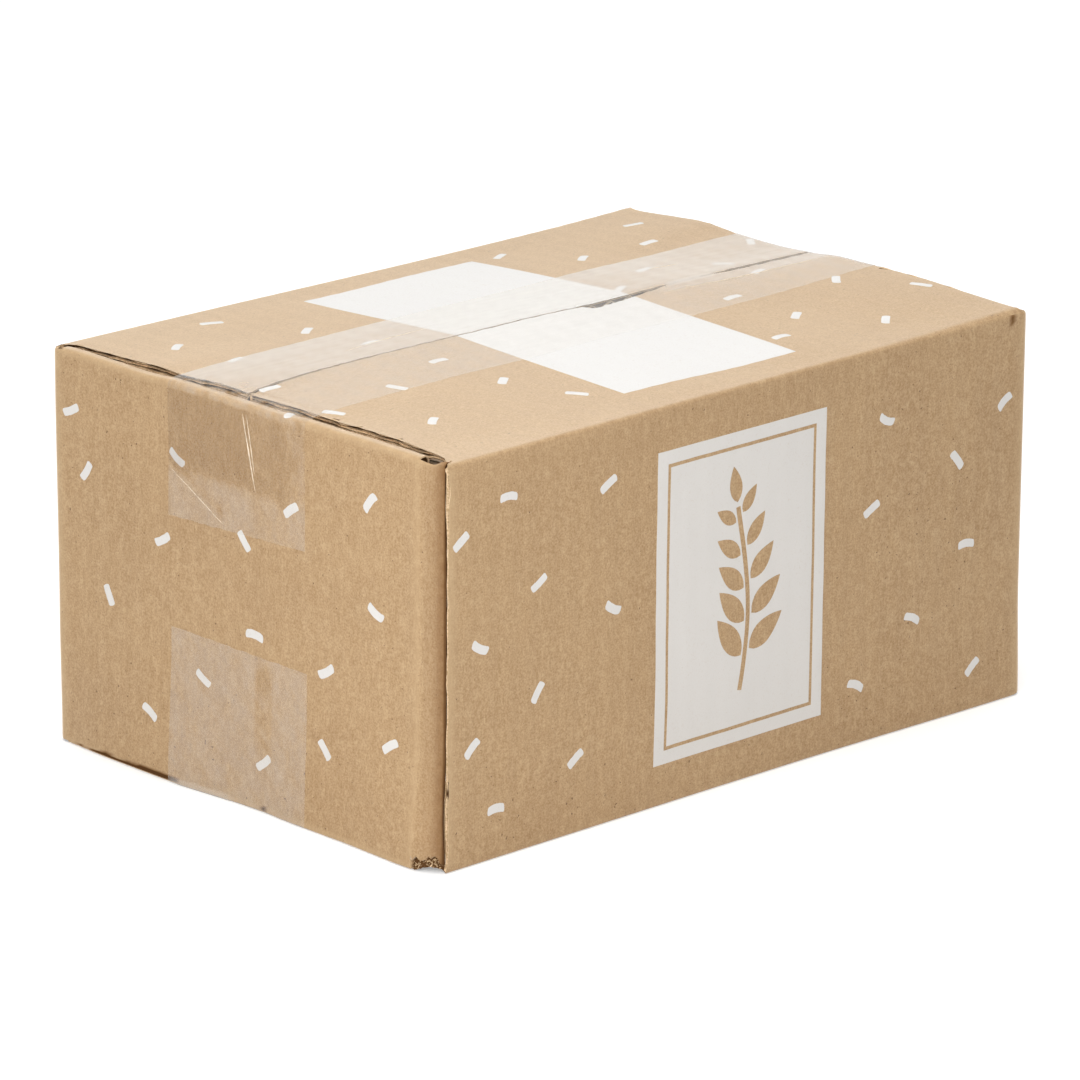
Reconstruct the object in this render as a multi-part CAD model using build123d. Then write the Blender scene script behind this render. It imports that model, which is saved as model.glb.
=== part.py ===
from build123d import *
import os
from math import hypot

# A slotted carton folded from one fluted blank and closed with two strips of clear tape.
# Millimetres. X runs along the long side, Z is up, and the origin is the middle of the footprint
# on the floor. The front is the long wall at -Y, and the blank's glued joint is at its left end, -X.

# Closed size of the carton
LENGTH = 200.0
WIDTH = 137.0
HINGE_TOP = 100.0  # floor to the folds that carry the top flaps

# The fluted board
BOARD = 2.6
LINER = 0.35
FOLD = 2.0  # outside radius of a fold, whose flutes are crushed
INNER_FOLD = 0.5

# Top flaps on the long walls, which meet in a low gable
PEAK_RISE = 3.2  # how far the meeting line stands above the folds
SEAM_SHIFT = 3.0  # the meeting line lies this far behind the middle
SEAM_GAP = 0.7
END_DROP = 1.5  # the tape pulls the flap ends down by this much
LEFT_DROP_RUN = 31.0
RIGHT_DROP_RUN = 75.0

# Slots between neighbouring flaps
FLAP_SETBACK = 4.4  # from an end wall to the end of a flap on a long wall
END_SLOT = 3.5  # from a long wall to the side of an end flap
JOINT_SLOT = 9.0  # the same at the glued joint, where the slot stands open
SLOT_BOTTOM = 0.9  # how far a corner stops short of the folds' outer level
TORN_FOOT = 1.5  # clear height under the torn foot of the joint
NOSE_RUN = 5.0  # the front flaps' corner at the joint is cut on a slant over this run

# End flaps, which lie under the others and are pinched at their folds
END_FLAP = 66.0  # end wall to tip
LAYER_GAP = 0.15
PINCH_FRONT = 1.8  # outer radius of the pinched fold
PINCH_BACK = 1.8
FOOT_PINCH = 0.2  # the lower pinched folds stop this far above the carton's underside

# The glued joint: a tab folded from the left wall lies behind the front wall
TAB_WIDTH = 32.0
TAB_BOARD = 2.2  # pressed thinner by the glue wheel
STRIP_DIP = 1.4  # the left wall bends in by this much before it folds into the tab
RAW_EDGE_SETBACK = 0.9  # from the left wall's face to the front wall's cut edge

# A cut edge that runs along the flutes shows one open flute between the liners
FLUTE_DEPTH = 2.2
JOINT_FLUTE_DEPTH = 1.4

# Small damage that the photograph shows
CHEW_START = 12.0  # bite out of the front top flap's edge, at the seam
CHEW_LENGTH = 26.0
CHEW_DEPTH = 2.2
NICK_HEIGHT = 20.5  # nick in the cut edge at the joint
NICK_DEPTH = 1.1

# Two strips of clear tape
TAPE_WIDTH = 48.0
TAPE_SHIFT = 4.4  # the strips' middle lies this far behind the carton's middle
TAPE = 0.08
GLUE = 0.03
TOP_TAPE_LEFT_END = 68.0  # height where each strip stops on the two end walls
TOP_TAPE_RIGHT_END = 61.0
FOOT_TAPE_LEFT_END = 39.0
FOOT_TAPE_RIGHT_END = 44.0

# Places that follow from the sizes
FOOT = TAPE + GLUE  # the carton stands on its lower strip
PEAK = HINGE_TOP + PEAK_RISE
TOP_FOLD_LEVEL = HINGE_TOP - FOLD
FOOT_FOLD_LEVEL = FOOT + FOLD
LEFT, RIGHT = -LENGTH / 2, LENGTH / 2
FRONT, BACK = -WIDTH / 2, WIDTH / 2
FRONT_INSIDE = FRONT + BOARD
RAW_EDGE = LEFT + RAW_EDGE_SETBACK
SPARE = 1.0  # how far a cutting tool reaches past the face that it cuts


def slab(low, high):
    """A block between two opposite corners."""
    size = [high[i] - low[i] for i in range(3)]
    middle = [(high[i] + low[i]) / 2 for i in range(3)]
    return Pos(*middle) * Box(*size)


def moved_out(face, distance):
    """A section grown by a distance, or shrunk where that is negative, with its corners kept sharp."""
    return offset(face, distance, kind=Kind.INTERSECTION) if distance else face


def plain_wall_plan():
    """Plan of the four walls with three round folds and a square corner at the joint."""
    outline = Rectangle(LENGTH, WIDTH)
    folds = [corner for corner in outline.vertices() if corner.X > 0 or corner.Y > 0]
    outline = fillet(folds, FOLD)
    cavity = RectangleRounded(LENGTH - 2 * BOARD, WIDTH - 2 * BOARD, INNER_FOLD)
    return outline - cavity


def joint_bend_plans():
    """At the joint: what is outside the bent left wall, and the bent wall itself."""
    bend_start = (LEFT, FRONT + JOINT_SLOT)
    fold = (LEFT + STRIP_DIP, FRONT_INSIDE)
    outside = make_face(Curve() + [
        TangentArc(bend_start, fold, tangent=(0, -1)),
        Polyline(fold, (RAW_EDGE, FRONT_INSIDE), (RAW_EDGE, FRONT - SPARE), (LEFT - SPARE, FRONT - SPARE),
                 (LEFT - SPARE, bend_start[1]), bend_start),
    ])
    run = bend_start[1] - FRONT_INSIDE
    radius = (run**2 + STRIP_DIP**2) / (2 * STRIP_DIP)
    ring = Pos(LEFT + radius, bend_start[1]) * (Circle(radius) - Circle(radius - BOARD))
    window = Pos(LEFT + BOARD, FRONT_INSIDE + run / 2) * Rectangle(2 * BOARD, run)
    return outside, ring & window


def tab_plan():
    """Plan of the tab, glued to the inside of the front wall."""
    width = TAB_WIDTH - BOARD
    return Pos(LEFT + BOARD + width / 2, FRONT_INSIDE + TAB_BOARD / 2) * Rectangle(width, TAB_BOARD)


def walls():
    """The four walls, the tab, and the corners that run on up and down to the slots."""
    outside, bend = joint_bend_plans()
    plan = plain_wall_plan() - outside + bend
    tall = extrude(plan + tab_plan(), amount=TOP_FOLD_LEVEL - FOOT_FOLD_LEVEL)
    body = Pos(0, 0, FOOT_FOLD_LEVEL) * tall
    for x, y, slot in ((LEFT, FRONT, JOINT_SLOT), (LEFT, BACK, END_SLOT), (RIGHT, FRONT, END_SLOT),
                       (RIGHT, BACK, END_SLOT)):
        foot = TORN_FOOT if slot == JOINT_SLOT else FOOT + SLOT_BOTTOM
        top = HINGE_TOP - SLOT_BOTTOM
        window = Pos(x, y) * Rectangle(2 * FLAP_SETBACK, 2 * slot)
        post = Pos(0, 0, foot) * extrude(plan & window, amount=top - foot)
        body = body + (post & crown())
    return body


def gable_face(distance):
    """Section across the carton: upright walls under two sloping top flaps, moved out by a distance."""
    face = make_face(Polyline((FRONT, 0), (FRONT, HINGE_TOP), (SEAM_SHIFT, PEAK), (BACK, HINGE_TOP),
                              (BACK, 0), close=True))
    hinges = [corner for corner in face.vertices() if abs(corner.Y - HINGE_TOP) < LINER]
    return moved_out(fillet(hinges, FOLD), distance)


def arch_face(distance):
    """Section along the carton: a level top whose two ends are pulled down, moved out by a distance."""
    ends = PEAK - END_DROP
    left_end, right_end = LEFT + FLAP_SETBACK, RIGHT - FLAP_SETBACK
    left_top, right_top = left_end + LEFT_DROP_RUN, right_end - RIGHT_DROP_RUN
    face = make_face(Curve() + [
        TangentArc((left_top, PEAK), (left_end, ends), tangent=(-1, 0)),
        Line((left_top, PEAK), (right_top, PEAK)),
        TangentArc((right_top, PEAK), (right_end, ends), tangent=(1, 0)),
        Polyline((right_end, ends), (RIGHT + SPARE, ends), (RIGHT + SPARE, 0), (LEFT - SPARE, 0),
                 (LEFT - SPARE, ends), (left_end, ends)),
    ])
    return moved_out(face, distance)


def crown(distance=0.0):
    """All that lies under the outer face of the top flaps, moved out by a distance."""
    across = extrude(Plane.YZ * gable_face(distance), amount=LENGTH, both=True)
    along = extrude(Plane.XZ * arch_face(distance), amount=WIDTH, both=True)
    return across & along


def outer_flap_plan():
    """Plan of the two flaps on the long walls, less the seam, slanted at the joint."""
    flap_left = LEFT + FLAP_SETBACK
    plan = Rectangle(LENGTH - 2 * FLAP_SETBACK, WIDTH + 2 * SPARE)
    nose = make_face(Polyline((RAW_EDGE, FRONT - SPARE), (flap_left, FRONT - SPARE),
                              (flap_left, FRONT + NOSE_RUN), close=True))
    seam = Pos(0, SEAM_SHIFT) * Rectangle(LENGTH, SEAM_GAP)
    return plan + nose - seam


def chew_plan():
    """The bite out of the front flap's edge: steep at its left end, running out to the right."""
    deep = SEAM_SHIFT - SEAM_GAP / 2 - CHEW_DEPTH
    end = CHEW_START + CHEW_LENGTH
    return make_face(Polyline((CHEW_START, SEAM_SHIFT), (CHEW_START + CHEW_DEPTH / 2, deep),
                              ((CHEW_START + end) / 2, deep + LINER), (end, SEAM_SHIFT), close=True))


def flute_mouths(level, top):
    """The two end stretches where the outer flaps' middle layer is open, between two levels."""
    low, high = FRONT + FLAP_SETBACK + NOSE_RUN, BACK - FLAP_SETBACK
    depth = FLAP_SETBACK + FLUTE_DEPTH
    left = slab((LEFT, low, level), (LEFT + depth, high, top))
    right = slab((RIGHT - depth, low, level), (RIGHT, high, top))
    return left + right


def top_flaps():
    """The two outer top flaps with their folds."""
    plan = extrude(outer_flap_plan() - chew_plan(), amount=PEAK)
    board = (crown() - crown(-BOARD)) & (Pos(0, 0, TOP_FOLD_LEVEL) * plan)
    fluting = crown(-LINER) - crown(LINER - BOARD)
    return board - (fluting & flute_mouths(TOP_FOLD_LEVEL, PEAK))


def foot_flaps():
    """The two outer bottom flaps with their folds, flat on the floor."""
    outer = make_face(Polyline((FRONT, PEAK), (FRONT, FOOT), (BACK, FOOT), (BACK, PEAK), close=True))
    outer = fillet(outer.vertices().sort_by(Axis.Y)[:2], FOLD)
    board = extrude(Plane.YZ * (outer - moved_out(outer, -BOARD)), amount=LENGTH, both=True)
    board = board & extrude(outer_flap_plan(), amount=FOOT_FOLD_LEVEL)
    return board - flute_mouths(FOOT + LINER, FOOT + BOARD - LINER)


def end_flap_face(pinch, level):
    """Section of an end flap: inward from the wall's outer face, and up to the flap's outer face."""
    inner = BOARD + INNER_FOLD
    heel = level - inner
    back = PINCH_FRONT + PINCH_BACK
    return make_face(Curve() + [
        Line((0, heel), (0, pinch - PINCH_FRONT)),
        CenterArc((PINCH_FRONT, pinch - PINCH_FRONT), PINCH_FRONT, 90, 90),
        CenterArc((PINCH_FRONT, pinch - PINCH_BACK), PINCH_BACK, 0, 90),
        Polyline((back, pinch - PINCH_BACK), (back, level), (END_FLAP, level), (END_FLAP, level - BOARD),
                 (inner, level - BOARD)),
        CenterArc((inner, heel), INNER_FOLD, 90, 90),
        Line((BOARD, heel), (0, heel)),
    ])


def end_flaps():
    """The four end flaps, with the pinched folds that stand proud of them."""
    under = BOARD + LAYER_GAP
    top = end_flap_face(HINGE_TOP, HINGE_TOP - under)
    foot = mirror(end_flap_face(-FOOT - FOOT_PINCH, -FOOT - under), Plane.XZ)
    flaps = []
    for left_face in (top, foot):
        for end, front_slot in ((LEFT, JOINT_SLOT), (RIGHT, END_SLOT)):
            face = left_face if end == LEFT else mirror(left_face, Plane.YZ)
            low, high = FRONT + front_slot, BACK - END_SLOT
            flap = extrude(Plane.XZ * (Pos(end, 0) * face), amount=high - low, dir=(0, -1, 0))
            flaps.append(Pos(0, high, 0) * flap)
    return flaps


def joint_edge_cuts():
    """The open flute down the front wall's cut edge, and a nick in that edge."""
    flute = slab((RAW_EDGE - SPARE, FRONT + LINER, FOOT_FOLD_LEVEL + FOLD),
                 (RAW_EDGE + JOINT_FLUTE_DEPTH, FRONT_INSIDE - LINER, TOP_FOLD_LEVEL - FOLD))
    half = 2 * NICK_DEPTH
    bite = make_face(Polyline((RAW_EDGE - SPARE, NICK_HEIGHT - half), (RAW_EDGE + NICK_DEPTH, NICK_HEIGHT),
                              (RAW_EDGE - SPARE, NICK_HEIGHT + half), close=True))
    nick = extrude(Plane.XZ * bite, amount=BOARD + SPARE, dir=(0, -1, 0))
    return flute + Pos(0, FRONT_INSIDE, 0) * nick


def carton():
    """The folded blank as one solid."""
    blank = walls() + top_flaps() + foot_flaps()
    for flap in end_flaps():
        blank = blank + flap
    return blank - joint_edge_cuts()


def taut_start(centre, corner):
    """Where a strip pulled tight over a pinched fold leaves it for the corner of a flap's end."""
    reach = hypot(corner[0] - centre[0], corner[1] - centre[1])
    along = ((corner[0] - centre[0]) / reach, (corner[1] - centre[1]) / reach)
    near = PINCH_FRONT**2 / reach
    side = (PINCH_FRONT**2 - near**2) ** 0.5
    return (centre[0] + along[0] * near - along[1] * side, centre[1] + along[1] * near + along[0] * side)


def bridge_face(pinch, level, base, distance):
    """Section along the carton of what a strip is pulled over at both ends, moved out by a distance."""
    centre = (LEFT + PINCH_FRONT, pinch - PINCH_FRONT)
    corner = (LEFT + FLAP_SETBACK, level)
    start = (LEFT, centre[1])
    leave = taut_start(centre, corner)
    more = 2 * BOARD / (corner[1] - leave[1])
    past = (corner[0] + (corner[0] - leave[0]) * more, level + 2 * BOARD)
    half = Curve() + [
        Polyline((0, base), (LEFT, base), start),
        TangentArc(start, leave, tangent=(0, 1)),
        Polyline(leave, past, (0, past[1])),
    ]
    return moved_out(make_face(half + mirror(half, Plane.YZ)), distance)


def top_former(distance):
    """The closed top as the upper strip meets it."""
    section = bridge_face(HINGE_TOP, PEAK - END_DROP, 0, distance)
    return extrude(Plane.XZ * section, amount=WIDTH, both=True) & crown(distance)


def foot_former(distance):
    """The closed bottom as the lower strip meets it, drawn upside down and turned over."""
    section = mirror(bridge_face(-FOOT - FOOT_PINCH, -FOOT, -HINGE_TOP, distance), Plane.XZ)
    ground = FOOT - distance
    room = slab((2 * LEFT, FRONT, ground), (2 * RIGHT, BACK, HINGE_TOP))
    return extrude(Plane.XZ * section, amount=WIDTH, both=True) & room


def strip(former, left_span, right_span):
    """A strip of tape over a former, kept between two heights at each end."""
    skin = former(GLUE + TAPE) - former(GLUE)
    low, high = TAPE_SHIFT - TAPE_WIDTH / 2, TAPE_SHIFT + TAPE_WIDTH / 2
    left = slab((2 * LEFT, low, left_span[0]), (0, high, left_span[1]))
    right = slab((0, low, right_span[0]), (2 * RIGHT, high, right_span[1]))
    return skin & (left + right)


above = 2 * HINGE_TOP
below = -HINGE_TOP
pieces = {
    "carton": carton(),
    "top_tape": strip(top_former, (TOP_TAPE_LEFT_END, above), (TOP_TAPE_RIGHT_END, above)),
    "bottom_tape": strip(foot_former, (below, FOOT_TAPE_LEFT_END), (below, FOOT_TAPE_RIGHT_END)),
}

os.makedirs("parts", exist_ok=True)
for name, piece in pieces.items():
    export_step(piece, os.path.join("parts", name + ".step"))
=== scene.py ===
import math
import bpy
import numpy as np
from mathutils import Matrix, Vector, geometry


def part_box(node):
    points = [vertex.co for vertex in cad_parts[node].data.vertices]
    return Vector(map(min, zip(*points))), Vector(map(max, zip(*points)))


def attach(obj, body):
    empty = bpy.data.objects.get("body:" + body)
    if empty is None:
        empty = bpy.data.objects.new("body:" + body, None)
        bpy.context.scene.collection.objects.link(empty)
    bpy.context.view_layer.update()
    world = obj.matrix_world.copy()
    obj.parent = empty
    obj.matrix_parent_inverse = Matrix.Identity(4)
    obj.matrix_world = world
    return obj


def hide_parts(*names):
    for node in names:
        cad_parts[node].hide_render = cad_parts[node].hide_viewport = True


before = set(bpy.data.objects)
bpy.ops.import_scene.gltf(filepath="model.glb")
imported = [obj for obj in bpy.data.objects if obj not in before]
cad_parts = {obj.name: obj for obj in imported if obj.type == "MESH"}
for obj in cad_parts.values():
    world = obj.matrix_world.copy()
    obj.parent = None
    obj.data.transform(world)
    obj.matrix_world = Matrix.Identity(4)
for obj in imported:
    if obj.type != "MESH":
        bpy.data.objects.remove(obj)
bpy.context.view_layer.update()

# A printed carton of fluted kraft board, closed with two strips of clear tape.
# Lengths are millimetres in the CAD's frame, and put_mesh turns them into metres.
MM = 0.001

# Sizes shared with the CAD
carton_low, carton_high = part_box("carton")
LEFT, RIGHT = carton_low.x / MM, carton_high.x / MM
FRONT, BACK = carton_low.y / MM, carton_high.y / MM
FOOT = carton_low.z / MM
HINGE_TOP = 100.0
PEAK_RISE = 3.2  # of the seam over the hinges
SEAM = 3.0
BOARD = 2.6
FOLD, INNER_FOLD = 2.0, 0.5
FLAP_SETBACK = 4.4
END_SLOT, JOINT_SLOT = 3.5, 9.0
END_FLAP = 66.0
LAYER = 2.75  # from a pinched fold's crest to its flap
RIDGE_BACK = 1.6  # the pinched fold runs on this far behind its crest
TAB_BOARD, TAB_WIDTH = 2.2, 32.0
RAW_EDGE = LEFT + 1.0
NICK_PLACE = 20.5  # height of a nick in the raw edge
NOSE_RUN, NOSE_SETBACK = 5.0, 2.2  # a long flap's ends slant from this setback at the fold to the full one
TAPE_LOW, TAPE_HIGH = -19.6, 28.4
TOP_TAPE_ENDS, FOOT_TAPE_ENDS = (68.0, 61.0), (39.0, 44.0)  # heights on the left and right end walls

# Shapes that only show close up
FLUTE = 6.65
STEP = FLUTE / 4
FOOT_PINCH = 0.1
FOOT_LEAN, END_FOOT_LEAN = 0.9, 0.25  # how far the lower folds reach in, long walls' and end walls'
LONG_SQUARENESS, END_SQUARENESS = 0.42, 0.58  # below 1 a fold turns more sharply than a round one
LONG_FOLD_WEAR_AND_LIGHT = 0.25  # paling of the long walls' folds, worn and partly a painted highlight, against 1 on the end walls' folds
TOP_FOLD, FOOT_FOLD = HINGE_TOP - FOLD, FOOT + FOLD
INNER_TOP, INNER_FOOT = HINGE_TOP - BOARD - INNER_FOLD, FOOT + BOARD + INNER_FOLD
SLOT_TURN = 45.0  # degrees round a fold to the bottom of the slots
SMALL = 1e-9
SAME = 1e-6  # places nearer than this are one place
LIFT_OVER = 0.06  # the tab lies this far behind the wall that it is glued to
FOLD_RUB_AND_LIGHT = 1.6  # a fold's paling, worn and partly a painted highlight, reaches about this far
END_FRAY, TIP_FRAY = 0.16, 0.10  # how raggedly a long flap's ends and its tip are cut
# How deep the cut edges are open: at the tip and at the ends of a flap, and along the walls and the tab
LONG_FLAP_CUT, END_FLAP_CUT = (0.8, 1.6), (0.6, 1.0)
RAW_CUT, SLOT_CUT, CORNER_CUT = 0.7, 0.5, 0.2
TAB_CUT, TAB_END_CUT = 0.3, 1.0
RIDGE_FLAT, RIDGE_DROP = 0.2, 1.2  # a pinched fold's crest is flat this far, and rounds off over this height
HALF_FOOT_GAP = 0.35  # from the middle of the lower seam to either flap
HIDDEN_SHADE, CRACK_SHADE = 1.8, 1.7  # painted shade of the strip's inner side, and of the crack

# The seam: its gap and its sway off the straight line, by place along the carton
SEAM_GAPS = ((-96, 1.0), (-70, 0.75), (-30, 0.4), (12, 0.4), (40, 0.2), (61, 0.2), (66, 1.3), (90, 1.4),
             (97, 1.0))
SEAM_SWAY = ((-98, 0.0), (-60, 0.0), (-28, -0.5), (-5, -1.4), (14, -2.1), (40, -2.1), (70, -1.7), (98, -1.4))
CHEW_START, CHEW_LENGTH, CHEW_DEPTH, CHEW_MOUTH = 12.8, 30.0, 2.9, 0.06

# How far the flap ends stand off the plain gable, by distance behind the front wall
LEFT_END = ((0, 0.0), (8, 0.0), (19, 0.35), (33, -0.1), (41, -0.65), (50, -0.7), (56, -0.85), (70, -1.75),
            (80, -0.7), (96, -0.75), (103, 0.1), (117, 0.2), (137, 0.0))
RIGHT_END = ((0, 0.75), (19, 0.75), (40, 0.1), (52, -0.35), (61, -0.5), (69, -1.5), (78, -1.5), (89, -0.9),
             (97, -0.3), (105, 0.7), (137, 1.0))
LEFT_RUN, RIGHT_RUN = 31.0, 75.0

# The glued corner, as distances in from the left wall and behind the front wall: the bent strip of the
# left wall, its inner face, and the front wall's edge, which is crushed thin along the joint
STRIP_LINE = ((0.0, 9.0), (0.02, 7.6), (0.08, 6.3), (0.18, 5.0), (0.30, 3.9), (0.45, 2.8), (0.62, 1.9),
              (0.85, 1.2), (1.2, 0.8), (2.0, 0.72), (3.0, 0.95))
STRIP_INNER = ((2.6, 9.0), (2.65, 7.6), (2.85, 6.4), (3.3, 5.5), (4.2, 5.0), (5.4, 4.8))
STRIP_COUNT = 20
BEAD_HEIGHT, BEAD_PLACE, BEAD_WIDTH = 0.22, 9.9, 1.2  # a soft ridge where the left wall starts to bend
CRUSH_RUN = 7.0
TEAR = ((0, 2.9), (0.2, 3.2), (0.5, 3.7), (0.62, 4.4), (0.72, 2.6), (1, 1.7))  # height by share of the strip
CRACK_PLACE = LEFT + 194.6  # a crack in the front wall's upper fold, painted only as a dark line of shade


def spaced(start, end, step):
    """Even steps between two values, both included."""
    return np.linspace(start, end, max(1, round(abs(end - start) / step)) + 1)


def joined(*runs):
    """Runs of values one after the other, with shared ends written once."""
    values = np.concatenate([np.atleast_1d(np.asarray(run, float)) for run in runs])
    return values[np.r_[True, np.abs(np.diff(values)) > SAME]]


def row_of(x, y, z):
    """Points from coordinates, of which some can be one number for all."""
    return np.stack(np.broadcast_arrays(x, y, z), -1).astype(float)


def eased(t):
    """A smooth step from 0 to 1."""
    t = np.clip(t, 0.0, 1.0)
    return t * t * (3 - 2 * t)


def hump(value, middle, width):
    """1 at a middle, fading out over a width on both sides."""
    return np.exp(-((value - middle) / width) ** 2)


def wander(a, b, size, seed):
    """Smooth seeded unevenness from about -1 to 1 over two coordinates."""
    dice = np.random.default_rng(seed)
    total = np.zeros(np.broadcast(a, b).shape)
    for _ in range(6):
        turn, phase = dice.uniform(0, 2 * math.pi, 2)
        pace = 2 * math.pi / size * dice.uniform(0.6, 1.5)
        total = total + np.sin(pace * (a * math.cos(turn) + b * math.sin(turn)) + phase)
    return total / 3


def profile(value, points, soften=2.5):
    """A smooth line through a few points."""
    at, height = zip(*points)
    shifts = (-soften, -soften / 2, 0, soften / 2, soften)
    return sum(np.interp(value + shift, at, height) for shift in shifts) / len(shifts)


def run_of(line):
    """Distance along a line at each of its points."""
    return np.r_[0, np.cumsum(np.linalg.norm(np.diff(line, axis=0), axis=1))]


def rolled(turn, squareness=END_SQUARENESS):
    """Share of a fold's reach and of its rise at a turn."""
    turn = np.clip(turn, 0, math.pi / 2)
    return 1 - np.abs(np.cos(turn)) ** squareness, np.abs(np.sin(turn)) ** squareness


def past_slot(turn):
    """How far a turn is from the bottom of the slots, 0, to the crest, 1."""
    return eased((np.degrees(turn) - SLOT_TURN) / (90 - SLOT_TURN))


def washboard(along):
    """The flutes that show faintly through the liner."""
    return 0.03 * np.cos(2 * math.pi * along / FLUTE)


def top_level(x, y):
    """Height of the closed top's outer face."""
    level = HINGE_TOP + PEAK_RISE * np.minimum((y - FRONT) / (SEAM - FRONT), (BACK - y) / (BACK - SEAM))
    left = np.clip(1 - (x - LEFT - FLAP_SETBACK) / LEFT_RUN, 0, 1) ** 2
    right = np.clip(1 - (RIGHT - FLAP_SETBACK - x) / RIGHT_RUN, 0, 1) ** 2
    level = level + profile(y - FRONT, LEFT_END) * left + profile(y - FRONT, RIGHT_END) * right
    inner = eased(np.minimum(y - FRONT, BACK - y) / 12)
    return level + washboard(x - RAW_EDGE) + inner * (0.12 * wander(x, y, 55, 3) - 0.12)


def crest_sway(y, top=True):
    """Unevenness of an end fold's crest."""
    return (0.12 if top else 0.04) * wander(y, 0, 22, 51 if top else 50)


def seam_line(x):
    """The middle of the seam."""
    return SEAM + profile(x, SEAM_SWAY)


def seam_edge(x, front):
    """Where a top flap stops at the seam, chewed on the front one."""
    gap = profile(x, SEAM_GAPS)
    edge = seam_line(x) - (1 if front else -1) * gap / 2
    edge = edge + np.minimum(gap, 0.4) * 0.25 * wander(x, 0, 7, 31 if front else 32)
    if not front:
        return edge
    t = (x - CHEW_START) / CHEW_LENGTH
    fading = np.clip(1 - (t - CHEW_MOUTH) / (1 - CHEW_MOUTH), 0, 1) ** 0.7
    depth = CHEW_DEPTH * eased(t / CHEW_MOUTH) * fading * (1 + 0.12 * wander(x, 0, 3, 35))
    return edge - np.where((t > 0) & (t < 1), depth, 0.0)


def crush_share(x, z):
    """How much of its thickness the front wall loses near the joint."""
    edge = 0.6 + 0.9 * hump(z, 92, 8) + 0.6 * hump(z, 13, 7)
    run = np.clip((x - RAW_EDGE) / CRUSH_RUN, 0, 1)
    return (1 - edge / BOARD) * (1 - run) ** 2


def crushed(outer, inner, share):
    """The inner points of a board pressed towards its outer ones."""
    return inner + (outer - inner) * share[..., None]


def curve(points, count):
    """Evenly spread points on a smooth line through a few points."""
    points = np.asarray(points, float)
    padded = np.concatenate([[2 * points[0] - points[1]], points, [2 * points[-1] - points[-2]]])
    fine = []
    for a, b, c, d in zip(padded, padded[1:], padded[2:], padded[3:]):
        for t in np.linspace(0, 1, 12, endpoint=False):
            fine.append(b + 0.5 * t * (c - a + t * (2 * a - 5 * b + 4 * c - d + t * (3 * (b - c) + d - a))))
    fine = np.array(fine + [points[-1]])
    run = run_of(fine)
    at = np.linspace(0, run[-1], count)
    return np.c_[np.interp(at, run, fine[:, 0]), np.interp(at, run, fine[:, 1])]


def wall_bulge(along, z, seed):
    """How far a wall stands out from its plane."""
    inner = eased((z - 4) / 14) * eased((96 - z) / 14)
    slow = 0.10 * wander(along, z, 45, seed) + 0.05 * wander(along, z, 16, seed + 7)
    return inner * (washboard(along) + slow - 0.1)


# Each wall: the axis it runs along, its place on the other axis, which way is out, and its seed
WALLS = {"front": (0, FRONT, -1, 11), "right": (1, RIGHT, 1, 12), "back": (0, BACK, 1, 13),
         "left": (1, LEFT, -1, 14)}


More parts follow.
